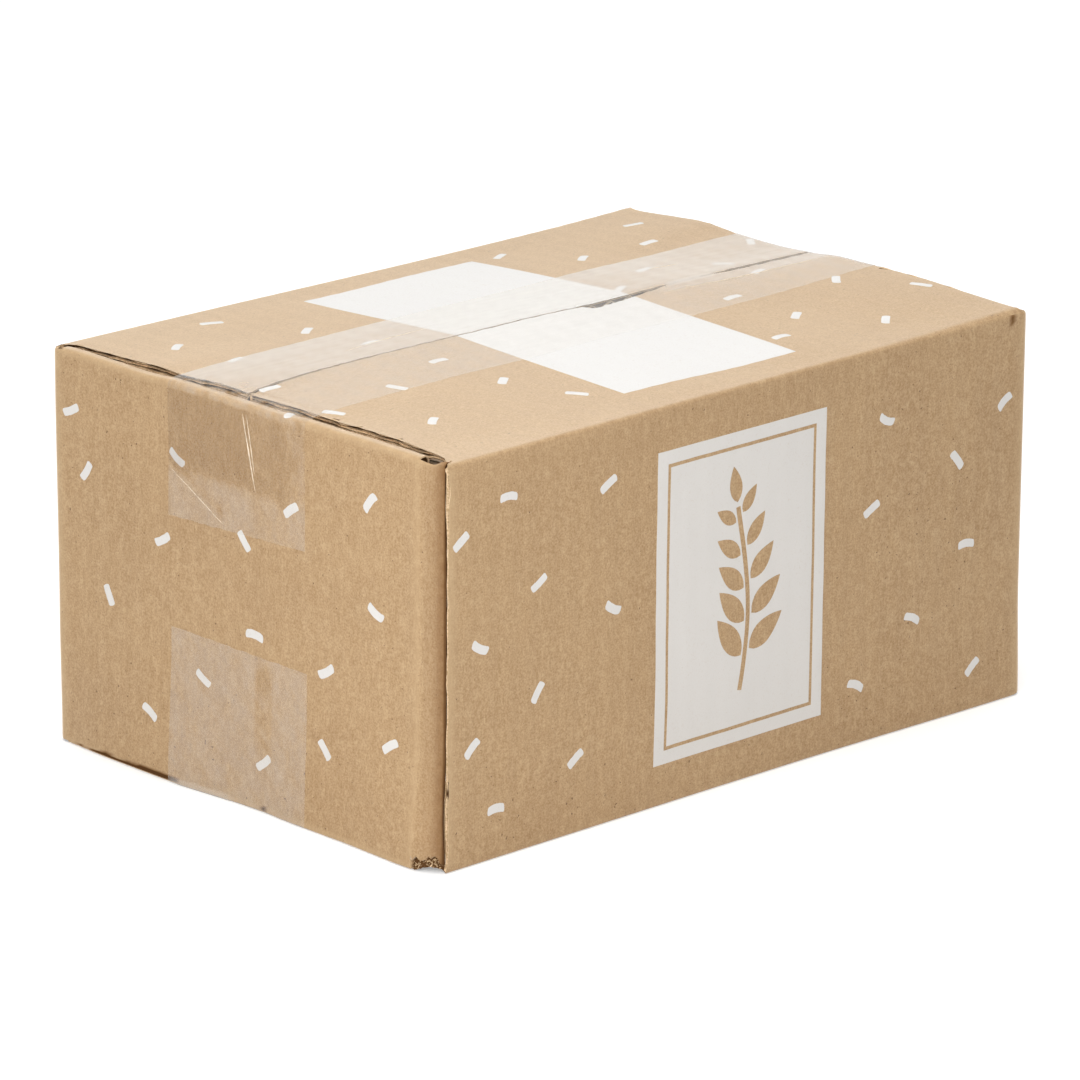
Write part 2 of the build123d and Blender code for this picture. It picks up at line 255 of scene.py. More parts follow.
class Plan:
    """Stations round the walls, from the front wall's raw edge to the fold into the glued tab."""

    def __init__(self):
        self.rows = []
        base, end = FLAP_SETBACK, NOSE_SETBACK
        run_in, run_out = spaced(LEFT + base, LEFT + end, 1.1), spaced(RIGHT - base, RIGHT - end, 1.1)
        for x in joined(spaced(RAW_EDGE, LEFT + base, 0.9), spaced(LEFT + base, RIGHT - base, STEP), run_out,
                        RIGHT - FOLD):
            self.add((x, FRONT), (0, -1), (min(x, RIGHT - BOARD - INNER_FOLD), FRONT + BOARD), 0, "front")
        self.corner(RIGHT, FRONT, -90, "right", (0, 1))
        for y in joined(FRONT + FOLD, spaced(FRONT + END_SLOT, BACK - END_SLOT, STEP), BACK - FOLD):
            self.add((RIGHT, y), (1, 0), (RIGHT - BOARD, self.inside(y, FRONT, BACK)), 1, "right")
        self.corner(RIGHT, BACK, 0, "back", (1, 0))
        for x in joined(RIGHT - FOLD, run_out[::-1], spaced(RIGHT - base, LEFT + base, STEP), run_in,
                        LEFT + FOLD):
            self.add((x, BACK), (0, 1), (self.inside(x, LEFT, RIGHT), BACK - BOARD), 0, "back")
        self.corner(LEFT, BACK, 90, "left", (0, 1))
        for y in joined(BACK - FOLD, spaced(BACK - END_SLOT, FRONT + JOINT_SLOT, STEP)):
            self.add((LEFT, y), (-1, 0), (LEFT + BOARD, self.inside(y, FRONT, BACK)), 1, "left")
        self.bend()
        outer, normal, inner, minor, side = zip(*self.rows)
        self.outer, self.normal, self.inner = (np.array(v, float) for v in (outer, normal, inner))
        self.minor, self.side = np.array(minor, float), np.array(side)
        self.along = run_of(self.outer)
        self.reach = self.from_folds()
        self.calm = eased(self.reach / 6)

    def inside(self, value, low, high):
        inset = BOARD + INNER_FOLD
        return min(max(value, low + inset), high - inset)

    def add(self, outer, normal, inner, minor, side):
        """One station. Its minor is 0 on a long wall and 1 on an end wall."""
        if not self.rows or math.dist(self.rows[-1][0], outer) > SAME:
            self.rows.append((outer, normal, inner, minor, side))

    def corner(self, x, y, start, side, weights):
        """A round upright fold, tighter inside."""
        toward = (-1 if x > 0 else 1, -1 if y > 0 else 1)
        inset = BOARD + INNER_FOLD
        for step in range(1, 6):
            share = step / 6
            angle = math.radians(start + 90 * share)
            normal = (math.cos(angle), math.sin(angle))
            outer = [c + t * FOLD + FOLD * n for c, t, n in zip((x, y), toward, normal)]
            inner = [c + t * inset + INNER_FOLD * n for c, t, n in zip((x, y), toward, normal)]
            self.add(outer, normal, inner, weights[0] * (1 - share) + weights[1] * share, side)

    def bend(self):
        """The left wall bows in towards the joint and folds into the tab."""
        outer, inner = curve(STRIP_LINE, STRIP_COUNT), curve(STRIP_INNER, STRIP_COUNT)
        ahead = np.gradient(outer, axis=0)
        ahead /= np.linalg.norm(ahead, axis=1, keepdims=True)
        corner = np.array((LEFT, FRONT))
        for place, inside, (d, w) in zip(outer[1:], inner[1:], ahead[1:]):
            self.add(corner + place, (w, -d), corner + inside, 1, "strip")

    def from_folds(self):
        """Distance of every station from the nearest upright fold or raw edge."""
        x, y = self.outer.T
        on_long = (self.side == "front") | (self.side == "back")
        near = np.where(on_long, np.minimum(x - LEFT, RIGHT - x), np.minimum(y - FRONT, BACK - y))
        return np.clip(near - FOLD, 0, None)

    def between(self, side, low=-math.inf, high=math.inf):
        """Station numbers of one wall between two coordinates along it."""
        axis, place, _, _ = WALLS[side]
        value = self.outer[:, axis]
        on_wall = np.abs(self.outer[:, 1 - axis] - place) < SAME
        return np.flatnonzero(on_wall & (value > low - 1e-4) & (value < high + 1e-4))

    def on(self, side, value, z, lift):
        """Points a little above one wall's face, at coordinates along it and heights."""
        axis, place, way, seed = WALLS[side]
        stations = self.between(side)
        stations = stations[np.argsort(self.outer[stations, axis])]
        at = self.outer[stations, axis]
        along, calm = (np.interp(value, at, of[stations]) for of in (self.along, self.calm))
        out = place + way * (wall_bulge(along, z, seed) * calm + lift)
        return np.stack([value, out, z] if axis == 0 else [out, value, z], -1)


plan = Plan()

BEND_TURNS = np.radians([15.0, 30.0, SLOT_TURN])
WALL_LEVELS = joined(FOOT_FOLD, 2.8, 3.6, 4.6, 5.6, 7.0, 8.8, spaced(11.0, 88.0, 2.4), 90.5, 93.0, 95.0, 96.6,
                     TOP_FOLD)
STRIP = np.flatnonzero(plan.side == "strip")


def inner_pull(z):
    """How much lower, or near the floor higher, the inner liner turns than the outer one."""
    high = np.clip((z - 80) / (TOP_FOLD - 80), 0, 1)
    low = np.clip((20 - z) / (20 - FOOT_FOLD), 0, 1)
    return (high - low) * (TOP_FOLD - INNER_TOP + LAYER * plan.minor)


def torn_foot(rows):
    """Near the floor the strip's outer liner is torn off, and the frayed layers behind it show.

    Gives back how torn each point is."""
    dice = np.random.default_rng(71)
    count, first = len(STRIP), len(BEND_TURNS)
    place = np.linspace(0, 1, count)
    tear = profile(place, TEAR, 0.02) + 0.35 * wander(place * 9, 0, 1.6, 72) + dice.uniform(-0.4, 0.4, count)
    hem = 0.1 + 1.1 * np.sin(math.pi * place) ** 2 + dice.uniform(0, 0.3, count)
    torn = np.zeros(rows.shape[:2])
    lip, back = first + 2, first + 1
    rows[lip, STRIP, 2] = tear
    for row in range(back + 1):
        share = row / back
        rows[row, STRIP, 2] = hem + (tear - 0.1 - hem) * share
        rows[row, STRIP, 0] += 0.8 + dice.uniform(-0.3, 0.3, count) - 0.5 * (1 - share)
        torn[row, STRIP] = 1
    rows[lip, STRIP, 0] += dice.uniform(-0.15, 0.06, count)
    return torn


def rough_joint(outer, inner):
    """Curls the strip's upper end over, and makes the raw edge ragged and thin over the strip."""
    behind = plan.outer[STRIP, 1] - FRONT
    dip = np.sin(np.linspace(0, math.pi, len(STRIP))) * (behind > 1.0)
    curl = eased((4.3 - behind) / 2.2)
    for row, lift, sink in ((-1, 0.75, 0.30), (-2, 0.35, 0.20)):
        outer[row, STRIP, 2] += lift * curl - sink * dip * (1 - curl)
    outer[-1, STRIP, 0] += 0.9 * curl
    torn = torn_foot(outer)

    z = WALL_LEVELS
    jag = 0.20 * wander(z, 0, 9, 66) + 0.14 * wander(z, 0, 3.2, 67) + 0.45 * hump(z, 93, 3)
    drawn = 0.3 + 0.4 * eased((26 - z) / 12) * eased((z - 2) / 3)
    nick = 0.9 * hump(z, NICK_PLACE, 1.4)
    first = len(BEND_TURNS)
    outer[first:-first, 0, 0] += np.clip(jag, -0.35, 0.6) + nick + drawn
    inner[first:-first, 0, 0] += 0.7 * nick + 0.1 + drawn
    front = (plan.side == "front") & (plan.outer[:, 0] < RAW_EDGE + CRUSH_RUN)
    share = crush_share(plan.outer[front, 0], outer[:, front, 2])
    inner[:, front] = crushed(outer[:, front], inner[:, front], share)
    hidden = STRIP[plan.outer[STRIP, 0] > RAW_EDGE]
    under = FRONT + BOARD * (1 - crush_share(plan.outer[hidden, 0], outer[:, hidden, 2])) + LIFT_OVER
    outer[:, hidden, 1] = np.maximum(outer[:, hidden, 1], under)
    return torn


def band():
    """The four walls with the start of every fold, as outer and inner points on one grid, and their tears."""
    normal, minor, rows = plan.normal, plan.minor, []
    squareness = LONG_SQUARENESS + (END_SQUARENESS - LONG_SQUARENESS) * minor

    def fold_row(turn, level, up, lean, rise):
        reach, height = rolled(turn, squareness)
        outer = plan.outer - normal * (lean * reach)[:, None]
        inner = plan.inner - normal * INNER_FOLD * (1 - math.cos(turn))
        inner_level = level - inner_pull(level) + up * INNER_FOLD * math.sin(turn)
        rows.append((row_of(*outer.T, level + up * rise * height), row_of(*inner.T, inner_level)))

    for turn in BEND_TURNS[::-1]:
        lean = FOOT_LEAN + (END_FOOT_LEAN - FOOT_LEAN) * minor
        fold_row(turn, FOOT_FOLD, -1, lean, FOLD - FOOT_PINCH * minor)
    near_joint = (plan.side == "left") | (plan.side == "strip")
    bead = BEAD_HEIGHT * near_joint * hump(plan.outer[:, 1] - FRONT, BEAD_PLACE, BEAD_WIDTH)
    seeds = {side: wall[-1] for side, wall in WALLS.items()} | {"strip": WALLS["left"][-1]}
    for z in WALL_LEVELS:
        out = np.zeros(len(normal))
        for side, seed in seeds.items():
            here = plan.side == side
            out[here] = wall_bulge(plan.along[here], z, seed)
        out = (out * plan.calm + bead * eased((96 - z) / 6) * eased((z - 2) / 5))[:, None]
        outer, inner = plan.outer + normal * out, plan.inner + normal * out
        rows.append((row_of(*outer.T, z), row_of(*inner.T, z - inner_pull(z))))
    for turn in BEND_TURNS:
        fold_row(turn, TOP_FOLD, 1, FOLD, FOLD)
    outer, inner = (np.array(points) for points in zip(*rows))
    return outer, inner, rough_joint(outer, inner)


def foot_shade(rows):
    """Painted shade along the lower edge of the left wall, where the flaps below it gape."""
    x, y, z = rows.transpose(2, 0, 1)
    u = BACK - y
    reach = 1.2 + 0.5 * eased((u - 9) / 34) + 0.2 * wander(u, 0, 7, 76)
    low = (x < LEFT + 1.5) * eased((reach - z) / 0.3)
    gape = eased((u - 9) / 6) * eased((46 - u) / 1.5)
    nicks = hump(u, 74.7, 0.8) + 0.8 * hump(u, 8.5, 1.5)
    return 2 * low * np.clip(gape + nicks, 0, 1)


# How far the edges stand off the plain box, by place along them: the end walls' from the back or the
# front, and the long walls' from the left
LEFT_FOOT_BOW = ((0, -0.6), (6, -0.3), (12, 0.4), (24, 1.1), (46, 1.6), (56, 0.8), (66, 0.0), (76, 0.0),
                 (84, 0.8), (104, 1.3), (114, 1.9), (124, 2.7), (131, 2.4), (136, 0.3), (140, 0.0))
LEFT_CREST_LIFT = ((0, 0.0), (6, 0.3), (14, 0.5), (36, 0.5), (46, 0.85), (62, 0.85), (72, 0.6), (90, 0.55),
                   (120, 0.45), (128, 0.1), (137, 0.0))
FRONT_FOOT_BOW = ((0, -0.9), (8, -0.75), (40, -0.6), (90, -0.45), (115, -0.2), (140, 0.0), (200, 0.0))
BACK_CREST_LIFT = ((0, 0.75), (12, 0.75), (50, 0.5), (85, 0.2), (110, 0.0), (170, -0.25), (200, -0.2))
RIGHT_CREST_LIFT = ((0, 0.0), (8, 0.1), (20, 0.7), (32, 1.0), (46, 0.95), (58, 0.7), (72, 0.1), (84, 0.0),
                    (96, 0.15), (110, 0.5), (122, 0.2), (137, -0.2))
LEFT_BOW_SHARE = 0.85  # of the left foot's bow
BACK_CORNER_LEAN = 0.6  # the far left corner leans out this far at the top
FOOT_CORNER_DRIFT = 1.15  # the foot of the glued corner leans this far along the front wall
FRONT_RIGHT_BOW, FRONT_RIGHT_FOOT_BOW = 0.85, 0.8


def settled(points):
    """The carton isn't quite square: its lower edges bow out, and its upper ones stand a little proud.

    Every line moves the points on from where the line before it left them."""
    points = np.array(points, float)
    x, y, z = points.T
    u = BACK - y
    left_bow = LEFT_BOW_SHARE * eased((LEFT + 9 - x) / 9) * profile(u, LEFT_FOOT_BOW)
    x -= left_bow * eased((34 - z) / 34)
    x -= BACK_CORNER_LEAN * eased((LEFT + 30 - x) / 30) * eased((y - 25) / 40) * eased((z - 35) / 60)
    near_floor = eased((30 - z) / 30)
    far_front = eased((FRONT + 26 - y) / 26) * eased((x - 20) / 78)
    y -= far_front * (FRONT_RIGHT_BOW + FRONT_RIGHT_FOOT_BOW * near_floor)
    y -= eased((FRONT + 9 - y) / 9) * profile(x - LEFT, FRONT_FOOT_BOW) * near_floor
    glued_corner = eased((FRONT + 9 - y) / 9) * eased((LEFT + 14 - x) / 14)
    x += FOOT_CORNER_DRIFT * glued_corner * eased((24 - z) / 24)
    z += eased((LEFT + 4.3 - x) / 1.4) * eased((z - 94.5) / 4.5) * profile(u, LEFT_CREST_LIFT)
    high = eased((z - 88) / 11)
    z += high * eased((y - 38) / 28) * profile(x - LEFT, BACK_CREST_LIFT)
    z += high * eased((x - 55) / 43) * profile(y - FRONT, RIGHT_CREST_LIFT)
    return points


def put_mesh(name, points, faces, materials, kinds=None, values=None, sharp=40):
    """A mesh object from points in millimetres."""
    mesh = bpy.data.meshes.new(name)
    mesh.from_pydata((settled(points) * MM).tolist(), [], faces)
    for material in materials:
        mesh.materials.append(material)
    if kinds is not None:
        mesh.polygons.foreach_set("material_index", np.asarray(kinds, np.int32))
    for label, data in (values or {}).items():
        mesh.attributes.new(label, "FLOAT", "POINT").data.foreach_set("value", np.asarray(data, np.float32))
    mesh.validate()
    mesh.update()
    mesh.shade_smooth()
    mesh.set_sharp_from_angle(angle=math.radians(sharp))
    return put_object(name, mesh)


def put_object(name, data):
    obj = bpy.data.objects.new(name, data)
    bpy.context.scene.collection.objects.link(obj)
    return obj


class Weld:
    """Collects faces by their corner points and shares the points that coincide."""

    def __init__(self):
        self.points, self.faces, self.kinds, self.values, self.known = [], [], [], [], {}

    def index(self, point, value):
        key = tuple(int(round(c * 2e4)) for c in point)
        found = self.known.get(key)
        if found is None:
            found = self.known[key] = len(self.points)
            self.points.append(tuple(float(c) for c in point))
            self.values.append(tuple(value))
        return found

    def grid(self, points, values, flip=False, kind=0):
        """Adds a grid of quads. Each point carries its values."""
        rows, columns = points.shape[:2]
        numbers = [[self.index(points[r, c], values[r, c]) for c in range(columns)] for r in range(rows)]
        for upper, lower in zip(numbers, numbers[1:]):
            for c in range(columns - 1):
                corners = list(dict.fromkeys((upper[c], upper[c + 1], lower[c + 1], lower[c])))
                if len(corners) > 2:
                    self.faces.append(corners[::-1] if flip else corners)
                    self.kinds.append(kind)

    def sheet(self, sheet, values):
        """Adds both liners of a board. Only the outer one carries paling, tears and painted light and shade.
        """
        outer, inner = sheet
        self.grid(outer, values)
        self.grid(inner, values * [1, 0, 0, 0], flip=True)


def with_marks_and_light(along, wear_and_light, shape, torn=0.0, painted_shade=0.0):
    """What every point carries: its place round the carton, its worn paling with painted light, how torn it
    is, and its painted shade.
    """
    return np.stack([np.broadcast_to(value, shape) for value in (along, wear_and_light, torn, painted_shade)], -1)


def sheet_ahead(edge, behind):
    """Unit steps out of the sheet at an edge."""
    step = edge - behind
    return step / np.maximum(np.linalg.norm(step, axis=-1, keepdims=True), SMALL)


def frayed(sheet, line, behind, amount, seed):
    """Pushes one border of a sheet in and out a little, liner by liner."""
    dice = np.random.default_rng(seed)
    for points in sheet:
        edge = points[line]
        push = dice.uniform(-1, 0.6, len(edge)) * amount
        push[0] = push[-1] = 0
        points[line] = edge + sheet_ahead(edge, points[behind]) * push[:, None]


# Torn grooves along the flutes in a cut edge: place and half width, as shares of the board
GROOVES = ((0.16, 0.13), (0.46, 0.12))
JOINT_GROOVES = ((0.24, 0.12), (0.72, 0.06))
FLUTE_WAVE = 0.28  # how far the middle layer swings, as a share of the board


def wave_lines(along):
    """Lines down a cut across the flutes: the liners and the middle layer stand out, the rest is open."""
    middle = 0.5 + FLUTE_WAVE * np.sin(2 * math.pi * along / FLUTE)
    return [(share, back) for share, back in (
        (0.135, 0.0), (0.14, 1.0), (middle - 0.06, 1.0), (middle - 0.055, 0.0), (middle + 0.055, 0.0),
        (middle + 0.06, 1.0), (0.86, 1.0), (0.865, 0.0))]


def groove_lines(run, grooves, seed, dice):
    """Lines down a cut along the flutes: ragged grooves with a ridge between the first two."""
    lines = []
    for number, (place, half) in enumerate(grooves):
        centre = place + 0.05 * wander(run, 0, 9, seed + number)
        width = 0.85 + 0.55 * wander(run, 0, 6, seed + 5 + number)
        width = half * np.clip(width + dice.uniform(-0.25, 0.25, len(run)), 0.3, 1.25)
        lines += [(centre + side * width, back)
                  for side, back in ((-1, 0.0), (-0.75, 1.0), (0.75, 1.0), (1, 0.0))]
        if number == 0:
            between = (grooves[0][0] + grooves[1][0]) / 2 + 0.02
            lines.append((between, 0.12 + 0.1 * wander(run, 0, 4, seed + 9)))
    return lines


def cut_edge(weld, sheet, line, behind, along, depth, grooves=GROOVES, seed=1):
    """The cut edge of the board between its two liners, at one border of a sheet.

    It cuts across the flutes where it gets no grooves."""
    outer, inner = (points[line] for points in sheet)
    ahead = sheet_ahead(outer, sheet[0][behind])
    dice = np.random.default_rng(seed)
    open_ends = np.ones(len(outer))
    open_ends[0] = open_ends[-1] = 0
    lines = wave_lines(along) if grooves is None else groove_lines(run_of(outer), grooves, seed, dice)
    shares, recess = (np.array([np.broadcast_to(value, len(outer)) for value in column])
                      for column in zip((0.0, 0.0), *lines, (1.0, 0.0)))
    points = outer + (inner - outer) * shares[..., None] - ahead * (open_ends * recess * depth)[..., None]
    # A cut's points fade from lit to painted shade as it opens deeper.
    values = with_marks_and_light(along, 1 - np.clip(recess, 0, 1) * open_ends, shares.shape)
    for first in range(len(points) - 1):
        weld.grid(points[first:first + 2], values[first:first + 2], kind=1)


def long_stations(front):
    """The stations where the flaps on a long wall hang."""
    low = RAW_EDGE if front else LEFT + NOSE_SETBACK
    return plan.between("front" if front else "back", low, RIGHT - NOSE_SETBACK)


def end_stations(left):
    """The stations where the flaps on an end wall hang."""
    low = FRONT + (JOINT_SLOT if left else END_SLOT)
    return plan.between("left" if left else "right", low, BACK - END_SLOT)


def slanted(points, front):
    """Slants the two ends of a long flap back from its fold to its full setback."""
    limit = 8.0  # from the wall, where the slant has died out
    run = np.clip(np.abs(points[..., 1] - (FRONT if front else BACK)) / NOSE_RUN, 0, 1)
    x = points[..., 0].copy()
    left_base = RAW_EDGE - LEFT if front else NOSE_SETBACK
    for wall, inward, base in ((LEFT, 1, left_base), (RIGHT, -1, NOSE_SETBACK)):
        from_wall = (x - wall) * inward
        edge = base + (FLAP_SETBACK - base) * run
        moved = edge + (from_wall - base) * (limit - edge) / (limit - base)
        points[..., 0] = np.where(from_wall < limit, wall + inward * moved, points[..., 0])


def put_flap(weld, sheet, along, wear_and_light, depths, seeds):
    """Adds a flap with its cut tip and its two cut ends."""
    shape = sheet[0].shape[:2]
    weld.sheet(sheet, with_marks_and_light(along, wear_and_light, shape))
    cut_edge(weld, sheet, -1, -2, along, depths[0], None, seeds[0])
    for end, inside in ((0, 1), (-1, -2)):
        at_end = np.full(shape[0], along[end])
        cut_edge(weld, sheet, np.s_[:, end], np.s_[:, inside], at_end, depths[1], GROOVES, seeds[1])


def long_flap(weld, front, rows, seed):
    """Adds a flap on a long wall from its rows of outer and inner points."""
    outer, inner = (np.array(points) for points in zip(*rows))
    stations, hinge = long_stations(front), FRONT if front else BACK
    if front:
        near_hinge = eased((13 - (outer[..., 1] - FRONT)) / 6)
        inner = crushed(outer, inner, crush_share(plan.outer[stations, 0], outer[0, :, 2]) * near_hinge)
    sheet = (outer, inner)
    for points in sheet:
        slanted(points, front)
    for end, inside in ((0, 1), (-1, -2)):
        frayed(sheet, np.s_[3:, end], np.s_[3:, inside], END_FRAY, seed + end)
    frayed(sheet, -1, -2, TIP_FRAY, seed + 2)
    wear_and_light = LONG_FOLD_WEAR_AND_LIGHT * hump(np.abs(outer[..., 1] - hinge), 0, FOLD_RUB_AND_LIGHT)
    put_flap(weld, sheet, plan.along[stations], wear_and_light, LONG_FLAP_CUT, (seed, seed + 3))


def top_flap(weld, front):
    """A top flap on a long wall, from its fold to the seam."""
    xs = plan.outer[long_stations(front), 0]
    hinge, inward = (FRONT, 1) if front else (BACK, -1)
    start = hinge + inward * FOLD
    end_rise = top_level(xs, np.full(len(xs), start)) - HINGE_TOP
    rows = []
    turns = np.radians([SLOT_TURN, 57, 69, 80, 88])
    for turn in turns:
        grow = ((turn - turns[0]) / (turns[-1] - turns[0])) ** 2 * end_rise
        reach, height = rolled(turn, LONG_SQUARENESS)
        deep = hinge + inward * (BOARD + INNER_FOLD * (1 - math.cos(turn)))
        rows.append((row_of(xs, hinge + inward * FOLD * reach, TOP_FOLD + FOLD * height + grow),
                     row_of(xs, deep, INNER_TOP + INNER_FOLD * math.sin(turn) + grow)))
    reach = seam_edge(xs, front)
    for share in joined(spaced(0.01, 0.94, 0.028), 0.965, 0.985, 1.0):
        y = start + (reach - start) * share
        z = top_level(xs, y)
        under = max(0.0, 1 - share / 0.04)
        deep = y + inward * (BOARD + INNER_FOLD - FOLD) * under
        rows.append((row_of(xs, y, z), row_of(xs, deep, z - BOARD)))
    long_flap(weld, front, rows, 31 if front else 41)


def foot_flap(weld, front):
    """A lower flap on a long wall, flat on the floor."""
    xs = plan.outer[long_stations(front), 0]
    hinge, inward = (FRONT, 1) if front else (BACK, -1)
    rows = []
    for turn in np.radians([SLOT_TURN, 60, 75, 90]):
        reach, height = rolled(turn, LONG_SQUARENESS)
        deep = hinge + inward * (BOARD + INNER_FOLD * (1 - math.cos(turn)))
        rows.append((row_of(xs, hinge + inward * FOOT_LEAN * reach, FOOT_FOLD - FOLD * height),
                     row_of(xs, deep, INNER_FOOT - INNER_FOLD * math.sin(turn))))
    start, deep = hinge + inward * FOOT_LEAN, hinge + inward * (BOARD + INNER_FOLD)
    reach = SEAM - inward * HALF_FOOT_GAP + 0.1 * wander(xs, 0, 7, 33 + front)
    for share in joined(0.06, spaced(0.12, 0.96, 0.07), 1.0):
        rows.append((row_of(xs, start + (reach - start) * share, FOOT),
                     row_of(xs, deep + (reach - deep) * share, FOOT + BOARD)))
    long_flap(weld, front, rows, 51 if front else 61)


def end_flap(weld, left, top):
    """An end flap, from its pinched fold to its hidden tip."""
    wall, inward = (LEFT, 1) if left else (RIGHT, -1)
    stations = end_stations(left)
    ys, along = plan.outer[stations, 1], plan.along[stations]
    if top:
        base, rise, up, lean, flap_level, border = TOP_FOLD, FOLD, 1, FOLD, HINGE_TOP - LAYER, -1
    else:
        base, rise, up, lean, flap_level, border = (FOOT_FOLD, FOLD - FOOT_PINCH, -1, END_FOOT_LEAN,
                                                    FOOT + LAYER, 0)
    inner_level = flap_level - up * BOARD
    heel = inner_level - up * INNER_FOLD
    sway = crest_sway(ys, top)
    back, crest = FOLD + RIDGE_BACK, base + up * rise
    outer = []
    for turn in np.radians([SLOT_TURN, 57, 68, 79, 90]):
        reach, height = rolled(turn)
        outer.append((lean * reach, base + up * rise * height + sway * past_slot(turn)))
    outer.append((FOLD + RIDGE_FLAT, crest + sway))
    for turn in np.radians([30, 60, 90]):
        inset = FOLD + RIDGE_FLAT + (RIDGE_BACK - RIDGE_FLAT) * math.sin(turn)
        outer.append((inset, crest - up * RIDGE_DROP * (1 - math.cos(turn)) + sway))
    outer.append((back, flap_level))
    bend_rows = len(outer)
    inner = []
    for share in np.arange(bend_rows) / (bend_rows - 1):
        turn = min(math.pi / 2, math.radians(SLOT_TURN) + share * 1.2)
        inset = BOARD + INNER_FOLD * (1 - math.cos(turn))
        inset += max(0, share - 0.7) / 0.3 * (back - BOARD - INNER_FOLD)
        inner.append((inset, heel + up * INNER_FOLD * math.sin(turn)))
    for reach in joined(8.0, spaced(14, END_FLAP, 13)):
        outer.append((reach, flap_level))
        inner.append((reach, inner_level))
    sheet = tuple(np.array([row_of(wall + inward * inset, ys, z) for inset, z in side])
                  for side in (outer, inner))
    for points, edge in zip(sheet, (band_outer, band_inner)):
        points[0] = edge[border, stations]
    wear_and_light = (np.arange(len(outer)) < bend_rows)[:, None]
    put_flap(weld, sheet, along, wear_and_light, END_FLAP_CUT, (47, 48))


def tab(weld):
    """The tab that the left wall folds into, glued behind the front wall."""
    span = slice(len(BEND_TURNS), len(BEND_TURNS) + len(WALL_LEVELS))
    first_outer, first_inner = band_outer[span, -1], band_inner[span, -1]
    rows = [(first_outer, first_inner)]
    for reach in (3.8, 5.0, 6.5, 8.5, 12.0, 22.0, TAB_WIDTH):
        z = first_outer[:, 2]
        y = FRONT + BOARD * (1 - crush_share(LEFT + reach, z)) + LIFT_OVER
        straight = min(1, reach / 12)
        inner_x = np.maximum(LEFT + reach, first_inner[:, 0] + 0.1 * reach)
        inner_z = first_inner[:, 2] * (1 - straight) + z * straight
        rows.append((row_of(LEFT + reach, y, z), row_of(inner_x, FRONT + BOARD + TAB_BOARD, inner_z)))
    sheet = tuple(np.array(points).transpose(1, 0, 2) for points in zip(*rows))
    shape = sheet[0].shape[:2]
    along = np.full(shape, plan.along[-1])
    weld.sheet(sheet, with_marks_and_light(along, 0.0, shape))
    for row, behind in ((0, 1), (-1, -2)):
        cut_edge(weld, sheet, row, behind, along[row], TAB_CUT, GROOVES, 49)
    cut_edge(weld, sheet, np.s_[:, -1], np.s_[:, -2], along[:, -1], TAB_END_CUT, GROOVES, 50)


def slot_windows():
    """First and last station of each corner's slot, where no flap hangs on the walls."""
    front, back = long_stations(True), long_stations(False)
    left, right = end_stations(True), end_stations(False)
    return ((front[-1], right[0]), (right[-1], back[0]), (back[-1], left[0]), (left[-1], len(plan.outer) - 1))


def board_values(outer, torn):
    """A worn paling with a painted highlight on the folds and the bead, painted shade on the bent strip,
    under the left wall's lower edge and in a crack, and tears of the outer liner.
    """
    behind = plan.outer[:, 1] - FRONT
    on_strip = plan.side == "strip"
    near_joint = on_strip | (plan.side == "left")
    fold_wear_and_light = np.where(on_strip, 0, hump(plan.reach, 0, FOLD_RUB_AND_LIGHT))
    # The bead's crest is painted pale as a highlight.
    fold_wear_and_light = np.maximum(fold_wear_and_light, near_joint * hump(behind, BEAD_PLACE - 0.4, 1.1))
    wear_and_light = np.broadcast_to(fold_wear_and_light, outer.shape[:2]).copy()
    turns = len(BEND_TURNS)
    wear_and_light[:turns] = wear_and_light[-turns:] = LONG_FOLD_WEAR_AND_LIGHT + (1 - LONG_FOLD_WEAR_AND_LIGHT) * plan.minor
    # Painted shade: the bent strip darkens towards the joint, with a darker painted shadow line right at the
    # joint.
    painted_shade = on_strip * (0.25 * eased((8.5 - behind) / 3) + 0.75 * eased((5.0 - behind) / 4.0))
    painted_shade = painted_shade + on_strip * (behind < 1.3) * 0.5 + foot_shade(outer)
    x, _, z = outer.transpose(2, 0, 1)
    # The crack in the front wall's upper fold is painted as a dark line of shade.
    crack = hump(x - 0.5 * (z - HINGE_TOP), CRACK_PLACE, 0.8) * eased((z - 96.2) / 1.6) * (behind < 3)
    return with_marks_and_light(plan.along, wear_and_light, outer.shape[:2], torn, painted_shade + CRACK_SHADE * crack)


def carton_mesh():
    """The folded blank, every panel and flap of it."""
    weld = Weld()
    sheet = (band_outer, band_inner)
    shape = band_outer.shape[:2]
    weld.grid(band_outer, board_values(band_outer, band_torn))
    # The bent strip's inner side is painted dark as shade.
    strip_inner_shade = HIDDEN_SHADE * (plan.side == "strip")
    weld.grid(band_inner, with_marks_and_light(plan.along, 0, shape, 0, strip_inner_shade), flip=True)
    cut_edge(weld, sheet, np.s_[:, 0], np.s_[:, 1], np.zeros(shape[0]), RAW_CUT, JOINT_GROOVES, 61)
    for first, last in slot_windows():
        span = slice(first, last + 1)
        for row, behind in ((-1, -2), (0, 1)):
            cut_edge(weld, sheet, (row, span), (behind, span), plan.along[span], SLOT_CUT, None, 62)
    turns = len(BEND_TURNS) + 1
    for span in (slice(0, turns), slice(-turns, None)):
        at_tab = np.full(turns, plan.along[-1])
        cut_edge(weld, sheet, (span, -1), (span, -2), at_tab, CORNER_CUT, GROOVES, 63)
    tab(weld)
    for front in (True, False):
        top_flap(weld, front)
        foot_flap(weld, front)
    for left in (True, False):
        for top in (True, False):
            end_flap(weld, left, top)
    return weld


band_outer, band_inner, band_torn = band()


